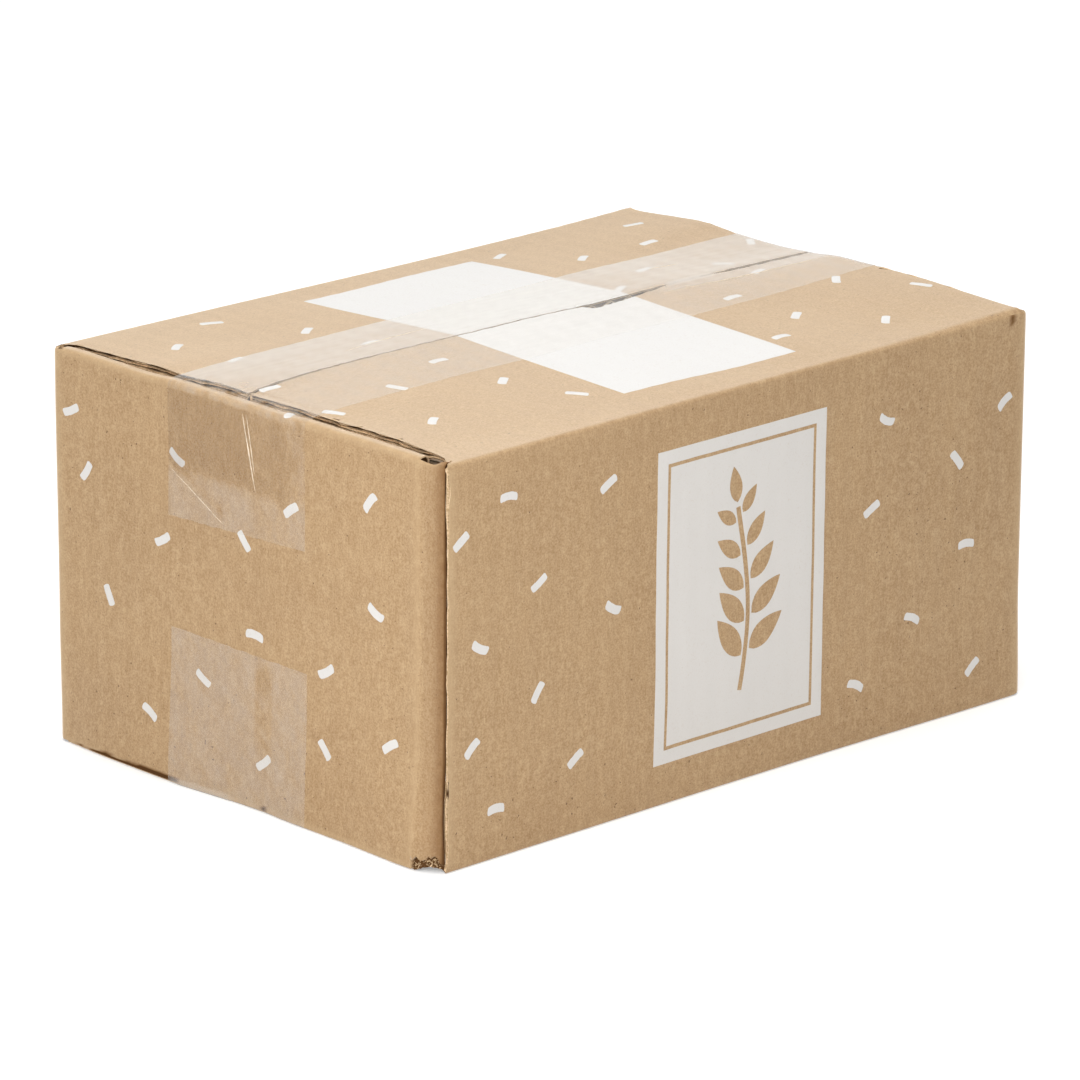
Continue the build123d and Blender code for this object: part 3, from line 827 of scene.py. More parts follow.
# Print: off-white patches, each a thin closed shell that follows the board
INK_TOP, INK_ROOT = 0.045, -0.08  # ink stands just proud of the board and is rooted in it
WALL_DASH_GREY, PANEL_GREY = 0.6, 1.0  # how far the white greys on the walls' dashes and on the front panel: painted shade of the walls, and on the panel also a greyer tone
DASH_LENGTH, DASH_WIDTH = 5.75, 2.1


def on_wall(side, way=1):
    """Gives what places points on a wall. A way of -1 turns their first coordinate round."""
    return lambda a, b, lift: plan.on(side, way * a, b, lift)


on_front, on_right = on_wall("front"), on_wall("right")
on_back, on_left = on_wall("back", -1), on_wall("left", -1)


def on_top(a, b, lift):
    return row_of(a, b, top_level(a, b) + lift)


def on_foot(a, b, lift):
    return row_of(a, -b, FOOT - lift)


def on_left_crest(a, b, lift):
    """Across the left end's upper fold: b is the way up and over it, measured from the wall's plane."""
    turn = np.clip(b / FOLD, 0, math.pi / 2)
    past = np.clip(b - FOLD * math.pi / 2, 0, None)
    reach, height = rolled(turn)
    x = LEFT + FOLD * reach - lift * np.cos(turn) + past
    z = TOP_FOLD + FOLD * height + lift * np.sin(turn) + np.clip(b, None, 0)
    return row_of(x, -a, z + crest_sway(-a) * past_slot(turn))


def within(points, loop):
    """Which points lie inside a closed outline."""
    x, y = points[:, :1], points[:, 1:]
    (start_x, start_y), (end_x, end_y) = loop.T, np.roll(loop, -1, axis=0).T
    spans = (start_y > y) != (end_y > y)
    rise = np.where(end_y == start_y, SMALL, end_y - start_y)
    crossing = start_x + (y - start_y) * (end_x - start_x) / rise
    return (np.sum(spans & (x < crossing), axis=1) % 2) == 1


def walked(loop, step):
    """A closed outline with points no further apart than a step."""
    return np.concatenate([spaced(0, 1, step / max(math.dist(a, b), SMALL))[:-1, None] * np.subtract(b, a) + a
                           for a, b in zip(loop, np.roll(loop, -1, axis=0))])


class Ink:
    """Collects printed patches into one mesh."""

    def __init__(self):
        self.points, self.faces, self.thin = [], [], []

    def patch(self, outline, place, holes=(), step=1.4, grid=(1.5, 2.6), thin=WALL_DASH_GREY):
        """One patch inside an outline, less its holes, laid on a surface."""
        loops = [walked(np.asarray(loop, float), step) for loop in (outline, *holes)]
        verts, edges = [], []
        for loop in loops:
            base = len(verts)
            verts += [Vector(point) for point in loop]
            edges += [(base + i, base + (i + 1) % len(loop)) for i in range(len(loop))]
        (low_a, low_b), (high_a, high_b) = loops[0].min(0), loops[0].max(0)
        grid_a, grid_b = spaced(low_a, high_a, grid[0])[1:-1], spaced(low_b, high_b, grid[1])[1:-1]
        fill = np.stack(np.meshgrid(grid_a, grid_b), -1).reshape(-1, 2)
        if len(fill):
            border = np.concatenate(loops)
            clear = np.min(np.hypot(*(fill[:, None] - border[None]).transpose(2, 0, 1)), axis=1) > 0.5
            verts += [Vector(point) for point in fill[self.kept(fill, loops) & clear]]
        made, _, faces, _, _, _ = geometry.delaunay_2d_cdt(verts, edges, [], 0, SAME)
        flat, faces = np.array([tuple(point) for point in made]), np.array(faces)
        self.shell(flat, faces[self.kept(flat[faces].mean(axis=1), loops)], place, thin)

    @staticmethod
    def kept(points, loops):
        good = within(points, loops[0])
        for hole in loops[1:]:
            good &= ~within(points, hole)
        return good

    def shell(self, flat, faces, place, thin):
        used, faces = np.unique(faces, return_inverse=True)
        base, count = len(self.points), len(used)
        for lift in (INK_TOP, INK_ROOT):
            self.points += place(*flat[used].T, lift).tolist()
            # Print on the walls greys by painted shade; print on top stays white.
            self.thin += [0.0 if place is on_top else thin] * count
        sides = {}
        for a, b, c in (faces.reshape(-1, 3) + base).tolist():
            self.faces += [(a, b, c), (count + c, count + b, count + a)]
            sides.update(dict.fromkeys(((a, b), (b, c), (c, a))))
        self.faces += [(b, a, count + a, count + b) for a, b in sides if (b, a) not in sides]


def laid(loop, angle, place):
    """An outline turned by an angle and moved to a place."""
    c, s = math.cos(math.radians(angle)), math.sin(math.radians(angle))
    return loop @ np.array([[c, s], [-s, c]]) + place


def dash(a, b, angle, bow, dice, length=DASH_LENGTH):
    """The outline of one short printed stroke with blunt ends, bowed to one side."""
    length = length * dice.uniform(0.95, 1.05)
    t = np.sin(np.linspace(-math.pi / 2, math.pi / 2, 15))
    half = DASH_WIDTH / 2 * dice.uniform(0.92, 1.06) * (1 - np.abs(t) ** 18) ** 0.5
    middle = 0.6 * bow * (1 - t * t)
    upper, lower = np.c_[length / 2 * t, middle + half], np.c_[length / 2 * t, middle - half]
    loop = np.concatenate([lower, upper[::-1][1:-1]])
    return laid(loop + dice.uniform(-0.05, 0.05, loop.shape), angle, (a, b))


# Strokes: distance from the left as seen from outside, height (or distance from the front on top),
# turn in degrees, and how far they bow
FRONT_STROKES = (
    (5.2, 80.8, 35, 0), (20.6, 88.2, -3, 0.9), (53.5, 84.8, 30, 0.3), (30.6, 65.5, 30, -0.4),
    (11.7, 53.8, -28, -0.7), (55.5, 54.1, -28, -0.8), (30.6, 38.4, 55, 0.4), (9.3, 29.4, 40, 0.5),
    (43.5, 18.9, 35, 0.2), (17.5, 12.2, 0, 0.9), (149.6, 81.8, -25, -1.0), (192, 77.8, 35, 0.8),
    (174.8, 66.2, -50, 0.3), (144.6, 59.8, 28, 0), (179, 43.4, -3, 0.9), (159.9, 28.2, -25, 0.8),
    (140, 15.1, -25, 1.0), (181.8, 11.1, 38, 0.4))
LEFT_STROKES = (
    (6.9, 86.2, 25, -0.4), (11.9, 71.8, 55, -0.5), (44.7, 82.3, -30, -0.7), (39.2, 60.6, 30, -0.5),
    (68.4, 66.6, -50, -0.2), (84.7, 77.8, 35, 0.3), (111.9, 85.6, 50, 0.7), (113.9, 59.6, -28, -0.9),
    (19.6, 41.9, -65, 0), (71.9, 43.6, -3, 1.0), (96.6, 40.9, 30, -0.6), (53.7, 28.9, -30, -0.4),
    (34.9, 15.8, -28, 0.5), (74.9, 12.7, 38, -0.3), (96.6, 21.4, -48, 0.3), (119.1, 27.7, 33, 0.4))
TOP_STROKES = (
    (42.4, 126.6, -25, 0), (22.6, 116.7, 35, 0.4), (55.6, 106.2, 35, 0.3), (25.6, 98.7, 12, 0.5),
    (59.6, 87.5, 3, 0.6), (14.4, 74.6, -8, 0.3), (60.4, 64.8, 0, 0.5), (37.2, 55, -70, -0.3),
    (11.5, 49.5, -65, 0.3), (59.6, 42, 38, 0), (24, 28.8, 38, 0.4), (64.7, 22.2, -50, 0.5),
    (139.5, 125, 25, 0.2), (186.2, 123.6, -15, 0.3), (153.2, 108.8, 35, 0.4), (176, 108, 0, 0.4),
    (156.2, 90.2, 10, 0.3), (138.7, 81.2, 30, 0.4), (175, 80.6, -45, 0.3), (196, 91.2, 50, 0),
    (175.7, 69.2, 20, 0.4), (153.7, 56.8, 5, 0.5), (183.7, 49.7, 45, 0.3), (153.3, 34.6, 35, 0.2),
    (194.8, 31.2, -65, 0.3), (136.7, 23.8, 0, 0.8), (166.7, 17, 40, 0.3))
CREST_STROKE, CREST_STROKE_LENGTH = (14.0, 2.9, 120, 0.0), 3.4  # it crosses the left end's fold
SEEN_ABOVE = 2.285  # a stroke's place on top was read at the hinges' height, and shifts by this for each rise

PANEL = (-30.0, 10.5, 28.0, 89.0)  # left, bottom, right and top of the white panel on the front wall
FRAME_OUT, FRAME_IN = 3.4, 4.3  # margins of the frame left bare in it
FIELD = (-28.0, 30.0)  # left and right of the white field on top
FIELD_TAPER = 1.6  # its front edge stops this much short on the right
FIELD_FRONT = (13.6, 11.0)  # the field's margin in front at its left and right
FIELD_BACK = 11.5
FIELD_OFF_SEAM = 0.12


def on_arched_top(x, y):
    """Where a place read in the plane of the hinges lies on the arched top."""
    at = np.array([x + LEFT, y + FRONT], float)
    found = at.copy()
    for _ in range(4):
        found = at - SEEN_ABOVE * (float(top_level(*found)) - HINGE_TOP)
    return found


def scattered(seed, width, height, count, margin=6.0, spread=15.5):
    """Places for strokes on a face that the photograph doesn't show."""
    dice = np.random.default_rng(seed)
    found = []
    while len(found) < count:
        place = (dice.uniform(margin, width - margin), dice.uniform(margin, height - margin))
        if all(math.dist(place, other[:2]) > spread for other in found):
            angle = dice.choice([35, -28, 50, -3, -50, 30, -65, 38])
            found.append((*place, angle + dice.uniform(-6, 6), dice.uniform(-0.8, 0.9)))
    return found


def sprig():
    """Kraft shapes left bare in the white panel: a stem with pairs of leaves, and one leaf at its tip."""
    left, bottom, right, top = PANEL
    middle, root, reach = (left + right) / 2, bottom + 13.0, top - bottom - 32.0
    half_stem, pairs, opening = 0.75, 5, 48

    def stem(t):
        return middle + 2.6 * math.sin(math.pi * t * 1.15), root + reach * t

    def heading(t):
        (a0, b0), (a1, b1) = stem(t - 0.01), stem(t + 0.01)
        return math.degrees(math.atan2(b1 - b0, a1 - a0))

    def off_stem(t, angle, distance):
        a, b = stem(t)
        return a + distance * math.cos(math.radians(angle)), b + distance * math.sin(math.radians(angle))

    def leaf(t, angle, gap, length, width):
        """A pointed leaf, a gap off the stem."""
        run = np.linspace(0, 1, 12)
        half = width / 2 * np.sin(math.pi * run ** 0.8) ** 0.9
        loop = np.concatenate([np.c_[length * run, -half], np.c_[length * run, half][::-1][1:-1]])
        return laid(loop, angle, off_stem(t, angle, gap))

    steps = np.linspace(0, 1, 28)
    shapes = [np.array([off_stem(t, heading(t) + 90, half_stem) for t in steps]
                       + [off_stem(t, heading(t) - 90, half_stem) for t in steps[::-1]])]
    for share in np.linspace(0, 1, pairs):
        t, size = 0.16 + 0.74 * share, 1 - 0.42 * share ** 1.3
        for side in (1, -1):
            angle = heading(t) + side * opening
            shapes.append(leaf(t + 0.035 * (side < 0), angle, 1.7, 13.5 * size, 6.0 * size))
    return shapes + [leaf(1.0, heading(1.0), 1.2, 9.5, 4.4)]


def rectangle(margin):
    """The panel's outline less a margin all round."""
    left, bottom, right, top = PANEL
    left, bottom, right, top = left + margin, bottom + margin, right - margin, top - margin
    return [(left, bottom), (right, bottom), (right, top), (left, top)]


def print_mesh():
    """All the print: strokes on every face, the front panel and the field over the seam."""
    ink = Ink()
    dice = np.random.default_rng(91)

    def dashes(strokes, place, shift_a=0.0, shift_b=0.0, grid=(1.3, 0.9)):
        for a, b, angle, bow in strokes:
            ink.patch(dash(a + shift_a, b + shift_b, angle, bow, dice), place, grid=grid)

    dashes(FRONT_STROKES, on_front, LEFT)
    dashes(LEFT_STROKES, on_left, -BACK)
    dashes([(*on_arched_top(a, b), angle, bow) for a, b, angle, bow in TOP_STROKES], on_top)
    ink.patch(dash(*CREST_STROKE, dice, CREST_STROKE_LENGTH), on_left_crest, step=0.4, grid=(0.5, 0.4))
    length, width, height = RIGHT - LEFT, BACK - FRONT, HINGE_TOP
    dashes(scattered(92, width, height, 16), on_right, FRONT)
    dashes(scattered(93, length, height, 24), on_back, LEFT)
    off_seam = [stroke for stroke in scattered(94, length, width, 30) if abs(stroke[1] + FRONT + SEAM) > 5]
    dashes(off_seam, on_foot, LEFT, FRONT, grid=(3, 2))

    ink.patch(rectangle(0), on_front, holes=[rectangle(FRAME_OUT)], thin=PANEL_GREY)
    ink.patch(rectangle(FRAME_IN), on_front, holes=sprig(), step=0.9, thin=PANEL_GREY)

    xs = spaced(*FIELD, 1.2)
    near = np.c_[np.interp(xs, FIELD, (FIELD[0], FIELD[1] - FIELD_TAPER)),
                 FRONT + np.interp(xs, FIELD, FIELD_FRONT)]
    far = np.c_[xs, np.full(len(xs), BACK - FIELD_BACK)]
    ink.patch(np.r_[near, np.c_[xs, seam_edge(xs, True) - FIELD_OFF_SEAM][::-1]], on_top)
    ink.patch(np.r_[np.c_[xs, seam_edge(xs, False) + FIELD_OFF_SEAM], far[::-1]], on_top)
    return ink


# Tape: clear film that follows the walls, the folds and the top, and bridges the gaps
FILM_LIFT, FILM_THICK = 0.07, 0.05
FILM_INSET = FLAP_SETBACK + 0.05  # the film lies on the long flaps from here on
FILM_STEP = 0.6
TOP_TAPE_ASIDE, FOOT_TAPE_ASIDE = -1.5, -2.1  # each strip was laid a little off its middle
TOP_TAPE_SLANTS, FOOT_TAPE_SLANTS = (-1.5, 1.0), (0.8, -0.6)  # of its cut ends, left and right

# Folds in the film, as lines of (distance behind the middle line, height) on the left wall and of
# (along, distance behind the middle line) on top, with their width and height
WALL_CREASES = (
    (((0.4, 97.6), (-0.8, 93.0), (-2.4, 86.5), (-4.0, 79.5)), 0.30, 0.20),
    (((-1.0, 97.4), (-2.2, 92.0), (-3.7, 84.0)), 0.22, 0.16),
    (((25.8, 79.0), (17.3, 74.4), (7.0, 68.8)), 0.22, 0.10),
)
TOP_CREASES = (
    (((37.0, -4.0), (62.0, -5.3), (92.0, -6.4)), 0.36, 0.10),
    (((-57.0, 11.5), (-42.0, 13.0), (-27.0, 13.2)), 0.22, 0.07),
    (((52.0, 16.0), (62.0, 15.0)), 0.3, 0.08),
)
CREASE_SHADOW_LINE = ((24.0, 80.5), (16.0, 76.0), (8.5, 72.2))  # a painted shadow on the left wall alongside the film's diagonal fold


def near_line(a, b, path, width):
    """How near places are to a line through a few points: 1 on it, fading over a width."""
    nearest = np.full(np.broadcast(a, b).shape, math.inf)
    for (a0, b0), (a1, b1) in zip(path, path[1:]):
        da, db = a1 - a0, b1 - b0
        t = np.clip(((a - a0) * da + (b - b0) * db) / (da * da + db * db), 0, 1)
        nearest = np.minimum(nearest, np.hypot(a - a0 - t * da, b - b0 - t * db))
    return hump(nearest, 0, width)


def zone(value, low, high, soft):
    """1 between two values, fading out over a soft border."""
    return eased((value - low) / soft + 0.5) * eased((high - value) / soft + 0.5)


def over_top_fold(y, wall, inward):
    """A strip's places over an end's upper fold: round the crest, then taut to the long flaps."""
    ends = np.full(len(y), wall + inward * FILM_INSET)
    level = top_level(ends, y) + FILM_LIFT
    tries = np.radians(np.linspace(0, 90, 61))
    across, height = rolled(tries)
    across = FOLD * across - FILM_LIFT * np.cos(tries)
    height = FOLD * height + FILM_LIFT * np.sin(tries)
    leave = tries[np.argmin((level[:, None] - TOP_FOLD - height) / (FILM_INSET - across), axis=1)]
    made = []
    for share in spaced(0.14, 1, 0.14):
        turn = leave * share
        reach, height = rolled(turn)
        made.append((wall + inward * (FOLD * reach - FILM_LIFT * np.cos(turn)),
                     TOP_FOLD + FOLD * height + FILM_LIFT * np.sin(turn) + crest_sway(y) * past_slot(turn)))
    x, z = made[-1]
    for share in (0.25, 0.5, 0.75):
        sag = 0.12 * math.sin(math.pi * share) * (1 + 0.5 * wander(y, 0, 9, 81))
        made.append((x + (ends - x) * share, z + (level - z) * share - sag))
    return made


def under_foot_fold(y, wall, inward):
    """A strip's places round an end's lower fold, where it gapes a little on the left."""
    gape = 0.25 * eased((y - 4) / 3) * eased((25 - y) / 3) * (wall == LEFT)
    made = []
    for turn in np.radians([18, 36, 54, 72, 90]):
        reach, height = rolled(turn)
        inset = END_FOOT_LEAN * reach - FILM_LIFT * math.cos(turn) - gape * math.sin(turn)
        made.append((wall + inward * inset,
                     FOOT_FOLD - (FOLD - FOOT_PINCH) * height - FILM_LIFT * math.sin(turn)))
    for share in (0.35, 0.7):
        inset = END_FOOT_LEAN + (FILM_INSET - END_FOOT_LEAN) * share
        made.append((wall + inward * inset, FOOT - FILM_LIFT + 0.06 * (1 - share)))
    return made


def film_rows(y, top, ends):
    """A strip's points over its whole length, one row after another, each with its place."""
    base, place, step, bend = ((TOP_FOLD, "top", 1.2, over_top_fold) if top else
                               (FOOT_FOLD, "foot", 4.0, under_foot_fold))

    def at_end(side, end, wall, inward):
        shares = spaced(0, 1, FILM_STEP / abs(base - np.mean(end)))
        rows = [(plan.on(side, y, end + (base - end) * share, FILM_LIFT), side) for share in shares]
        return rows + [(row_of(x, y, z), side + "_fold") for x, z in bend(y, wall, inward)]

    middle = [(row_of(x, y, top_level(x, y) + FILM_LIFT if top else FOOT - FILM_LIFT), place)
              for x in spaced(LEFT + FILM_INSET, RIGHT - FILM_INSET, step)]
    return at_end("left", ends[0], LEFT, 1) + middle + at_end("right", ends[1], RIGHT, -1)[::-1]


def film_haze(points, place, top):
    """Haze of the film at a row of points.

    Above zero it is milky film that stands off the board, and below zero film that wets it, and beside a fold
    on the left wall a painted shadow."""
    x, y, z = points.T
    blotch = wander(x + z, y, 9, 83)
    fine = wander(x + z, y, 3.2, 84)
    if place == "left" and top:
        haze = 0.008 + 0.02 * blotch + 0.015 * fine
        haze += 0.09 * zone(z, 60, 79, 5)
        haze -= 0.09 * zone(z, 80, 110, 4) * zone(y, -2, 40, 3) * (0.8 + 0.3 * blotch)
        haze -= 0.05 * zone(y, -16, -2, 5) * zone(z, 60, 97, 5)
        # A painted shadow alongside the diagonal fold in the film.
        haze -= 0.08 * near_line(y, z, CREASE_SHADOW_LINE, 1.3)
    elif place == "left_fold" and top:
        haze = 0.04 + 0.05 * blotch + 0.04 * fine
    elif place == "top":
        behind = y - seam_line(x)
        haze = np.where(behind > 0, 0.22, 0.07) + 0.016 * blotch + 0.012 * fine
        crease = np.interp(x, *zip(*TOP_CREASES[0][0]))
        haze += 0.12 * zone(x, 37, 110, 6) * eased(y - crease) * (behind < -0.2)
        haze += 0.16 * zone(x, 44, 60, 4) * zone(behind, -1.5, 1.5, 1.0)
        haze += 0.04 * zone(y, 20, 40, 4)
        over_gap = np.maximum(0.95 * zone(x, 61, 96, 2), 0.5 * zone(x, 12, 43, 2))
        haze *= 1 - over_gap * zone(behind, -0.9, 0.8, 0.4)
    elif place == "left":
        haze = 0.105 + 0.03 * blotch + 0.02 * fine
        haze -= 0.10 * zone(y, -9.5, -3.5, 1.5) * zone(z, 15, 37, 5)
    elif place == "left_fold":
        haze = 0.10 + 0.14 * zone(y, 5, 25, 3)
    else:
        haze = 0.11 + 0.04 * blotch + 0.03 * fine
    return haze


def film_mesh(top, ends, slants):
    """One strip of tape as a thin closed shell: its points, faces, kinds of face and haze."""
    y = spaced(TAPE_LOW, TAPE_HIGH, FILM_STEP) + (TOP_TAPE_ASIDE if top else FOOT_TAPE_ASIDE)
    across = (y - y[0]) / (y[-1] - y[0]) - 0.5
    uneven = 0.12 * wander(y, 0, 5, 85 if top else 86)
    rows = film_rows(y, top, [end + slant * across + uneven for end, slant in zip(ends, slants)])
    upper = np.array([points for points, _ in rows])
    out = np.cross(np.gradient(upper, axis=1), np.gradient(upper, axis=0))
    out /= np.maximum(np.linalg.norm(out, axis=-1, keepdims=True), SMALL)
    middle = np.array([(LEFT + RIGHT) / 2, 0, HINGE_TOP / 2])
    if np.sum(out * (upper - middle)) < 0:
        out = -out
    points = np.concatenate([side.reshape(-1, 3) for side in (upper, upper - out * FILM_THICK)])
    haze = np.concatenate([film_haze(row, place, top) for row, place in rows])
    number = np.arange(len(haze)).reshape(upper.shape[:2])
    quads = np.stack([number[:-1, :-1], number[1:, :-1], number[1:, 1:], number[:-1, 1:]], -1).reshape(-1, 4)
    start = np.r_[number[0, :-1], number[:-1, -1], number[-1, :0:-1], number[:0:-1, 0]]
    end = np.roll(start, -1)
    rim = np.stack([start, end, end + number.size, start + number.size], -1)
    if not top:
        quads, rim = quads[:, ::-1], rim[:, ::-1]
    faces = quads.tolist() + (quads[:, ::-1] + number.size).tolist() + rim.tolist()
    kinds = np.arange(len(faces)) >= len(quads)
    return points, faces, kinds, {"haze": np.r_[haze, haze]}


def ridge(path, width, height, place):
    """A raised fold of film along a line, tapering to its ends, as a closed shell."""
    path = np.asarray(path, float)
    run = run_of(path)
    at = spaced(0, run[-1], 0.8)
    line = np.c_[np.interp(at, run, path[:, 0]), np.interp(at, run, path[:, 1])]
    ahead = np.gradient(line, axis=0)
    ahead /= np.linalg.norm(ahead, axis=1, keepdims=True)
    aside = np.c_[-ahead[:, 1], ahead[:, 0]]
    taper = np.clip(np.sin(math.pi * at / run[-1]), 0, 1) ** 0.5 * (1 + 0.25 * wander(at, 0, 5, 87))
    taper = np.clip(taper, 0.08, None)[:, None]
    rims = []
    for across, lift in ((-0.5, 0.0), (-0.2, 0.8), (0.15, 1.0), (0.5, 0.0), (0.2, -0.15), (-0.2, -0.15)):
        flat = line + aside * (across * width * taper)
        rims.append(place(*flat.T, FILM_LIFT + lift * height * taper[:, 0]))
    number = np.arange(len(rims) * len(line)).reshape(len(rims), -1)
    after = np.roll(number, -1, axis=0)
    quads = np.stack([number[:, :-1], number[:, 1:], after[:, 1:], after[:, :-1]], -1).reshape(-1, 4)
    return np.concatenate(rims), quads.tolist() + [number[:, 0].tolist(), number[::-1, -1].tolist()]


def crease_mesh():
    """All the folds in the upper strip."""
    points, faces = [], []
    for creases, place in ((WALL_CREASES, on_wall("left")), (TOP_CREASES, on_top)):
        for path, width, height in creases:
            made, sides = ridge(path, width, height, place)
            faces += [tuple(len(points) + i for i in face) for face in sides]
            points += made.tolist()
    return points, faces


# Materials

def linear(red, green, blue):
    """A colour as it looks on a screen, from 0 to 255, as Blender's linear values."""
    def one(value):
        value = value / 255
        return value / 12.92 if value <= 0.04045 else ((value + 0.055) / 1.055) ** 2.4
    return (one(red), one(green), one(blue), 1.0)


class Graph:
    """Short calls that build the nodes of one material, or of the world."""

    def __init__(self, owner):
        owner.use_nodes = True
        self.owner, self.tree = owner, owner.node_tree
        self.tree.nodes.clear()

    def feed(self, socket, value):
        if isinstance(value, bpy.types.NodeSocket):
            self.tree.links.new(value, socket)
        else:
            socket.default_value = value

    def add(self, kind, inputs=None, **settings):
        node = self.tree.nodes.new(kind)
        for key, value in settings.items():
            setattr(node, key, value)
        for key, value in (inputs or {}).items():
            self.feed(node.inputs[key], value)
        return node

    def math(self, operation, a, b=0.0):
        return self.add("ShaderNodeMath", {0: a, 1: b}, operation=operation).outputs[0]

    def plus(self, a, b):
        return self.math("ADD", a, b)

    def times(self, a, b):
        return self.math("MULTIPLY", a, b)

    def place(self, stretch=(1, 1, 1)):
        """The object's own coordinates, in millimetres over a stretch."""
        coordinates = self.add("ShaderNodeTexCoord").outputs["Object"]
        scale = tuple(s / MM for s in stretch)
        return self.add("ShaderNodeVectorMath", {0: coordinates, 1: scale}, operation="MULTIPLY").outputs[0]

    def value(self, name):
        return self.add("ShaderNodeAttribute", attribute_name=name).outputs["Fac"]

    def facing(self):
        """From 0 where the surface faces the eye to 1 at its rim."""
        return self.add("ShaderNodeLayerWeight", {"Blend": 0.5}).outputs["Facing"]

    def noise(self, place, size, detail=2.0, rough=0.5, bend=0.0):
        """Noise from 0 to 1 whose features are about a size in millimetres."""
        inputs = {"Vector": place, "Scale": 1 / size, "Detail": detail, "Roughness": rough,
                  "Distortion": bend}
        return self.add("ShaderNodeTexNoise", inputs).outputs["Fac"]

    def span(self, value, low, high, to_low=0.0, to_high=1.0, smooth=True):
        """A value's range turned into another range."""
        inputs = {"Value": value, "From Min": low, "From Max": high, "To Min": to_low, "To Max": to_high}
        kind = "SMOOTHSTEP" if smooth else "LINEAR"
        return self.add("ShaderNodeMapRange", inputs, interpolation_type=kind).outputs["Result"]

    def mix(self, share, a, b):
        """Colour a, with a share of colour b over it."""
        return self.add("ShaderNodeMix", {0: share, 6: a, 7: b}, data_type="RGBA").outputs[2]

    def bump(self, height, strength, distance):
        inputs = {"Height": height, "Strength": strength, "Distance": distance * MM}
        return self.add("ShaderNodeBump", inputs).outputs["Normal"]

    def finish(self, shader):
        """Puts a shader out and gives back the material."""
        self.add("ShaderNodeOutputMaterial", {"Surface": shader.outputs[0]})
        return self.owner

    def principled(self, inputs):
        return self.finish(self.add("ShaderNodeBsdfPrincipled", inputs))


def material_graph(name):
    return Graph(bpy.data.materials.new(name))


KRAFT = linear(175, 143, 103)
KRAFT_DARK = linear(145, 112, 75)
KRAFT_PALE = linear(201, 173, 135)
CUT_PALE = linear(228, 200, 163)
FLECK = linear(90, 60, 36)
# The fluting's brown darkened by painted shade: deep in open flutes, in the torn foot and as the deepest
# painted shade.
SHADED_FLUTING = linear(88, 60, 36)
# Kraft in painted shade.
SHADED_KRAFT = linear(128, 94, 60)
INK_WHITE = linear(220, 218, 215)
# The walls' greyer white: painted shade, and on the panel also a greyer tone.
INK_WALL_GREY = linear(212, 208, 203)
FILM_WHITE = linear(238, 233, 225)
FILM_WET_AND_SHADOW = linear(120, 84, 50)
FILM_GLINT = linear(240, 222, 196)
FUZZ_TINT = (1.0, 0.84, 0.66, 1)


def kraft_colour(graph, place):
    """Brown liner with clouded pulp, pale fibres and dark flecks."""
    clouds = graph.noise(place, 26, 3, 0.55)
    pulp = graph.noise(place, 2.2, 3, 0.6)
    grain = graph.noise(place, 0.5, 2, 0.7)
    streaks = graph.noise(graph.place((1.0, 1.0, 0.22)), 0.9, 3, 0.65)
    tone = KRAFT
    for noise, low, high, share, other in (
            (clouds, 0.35, 0.68, 0.22, KRAFT_DARK), (streaks, 0.45, 0.70, 0.26, KRAFT_DARK),
            (streaks, 0.52, 0.32, 0.22, KRAFT_PALE), (pulp, 0.42, 0.75, 0.34, KRAFT_PALE),
            (grain, 0.46, 0.72, 0.55, KRAFT_DARK), (grain, 0.54, 0.32, 0.35, KRAFT_PALE)):
        tone = graph.mix(graph.span(noise, low, high, 0.0, share), tone, other)
    fibre = graph.noise(place, 1.5, 2, 0.5, 2.2)
    line = graph.math("ABSOLUTE", graph.math("SUBTRACT", fibre, 0.5))
    thin = graph.span(line, 0.0, 0.014, 1.0, 0.0)
    patchy = graph.span(graph.noise(place, 1.9, 1), 0.50, 0.64)
    tone = graph.mix(graph.times(graph.times(thin, patchy), 0.5), tone, KRAFT_PALE)
    flecks = graph.span(graph.noise(place, 0.9, 1, 0.4), 0.73, 0.79)
    return graph.mix(graph.times(flecks, 0.8), tone, FLECK), grain, pulp, thin


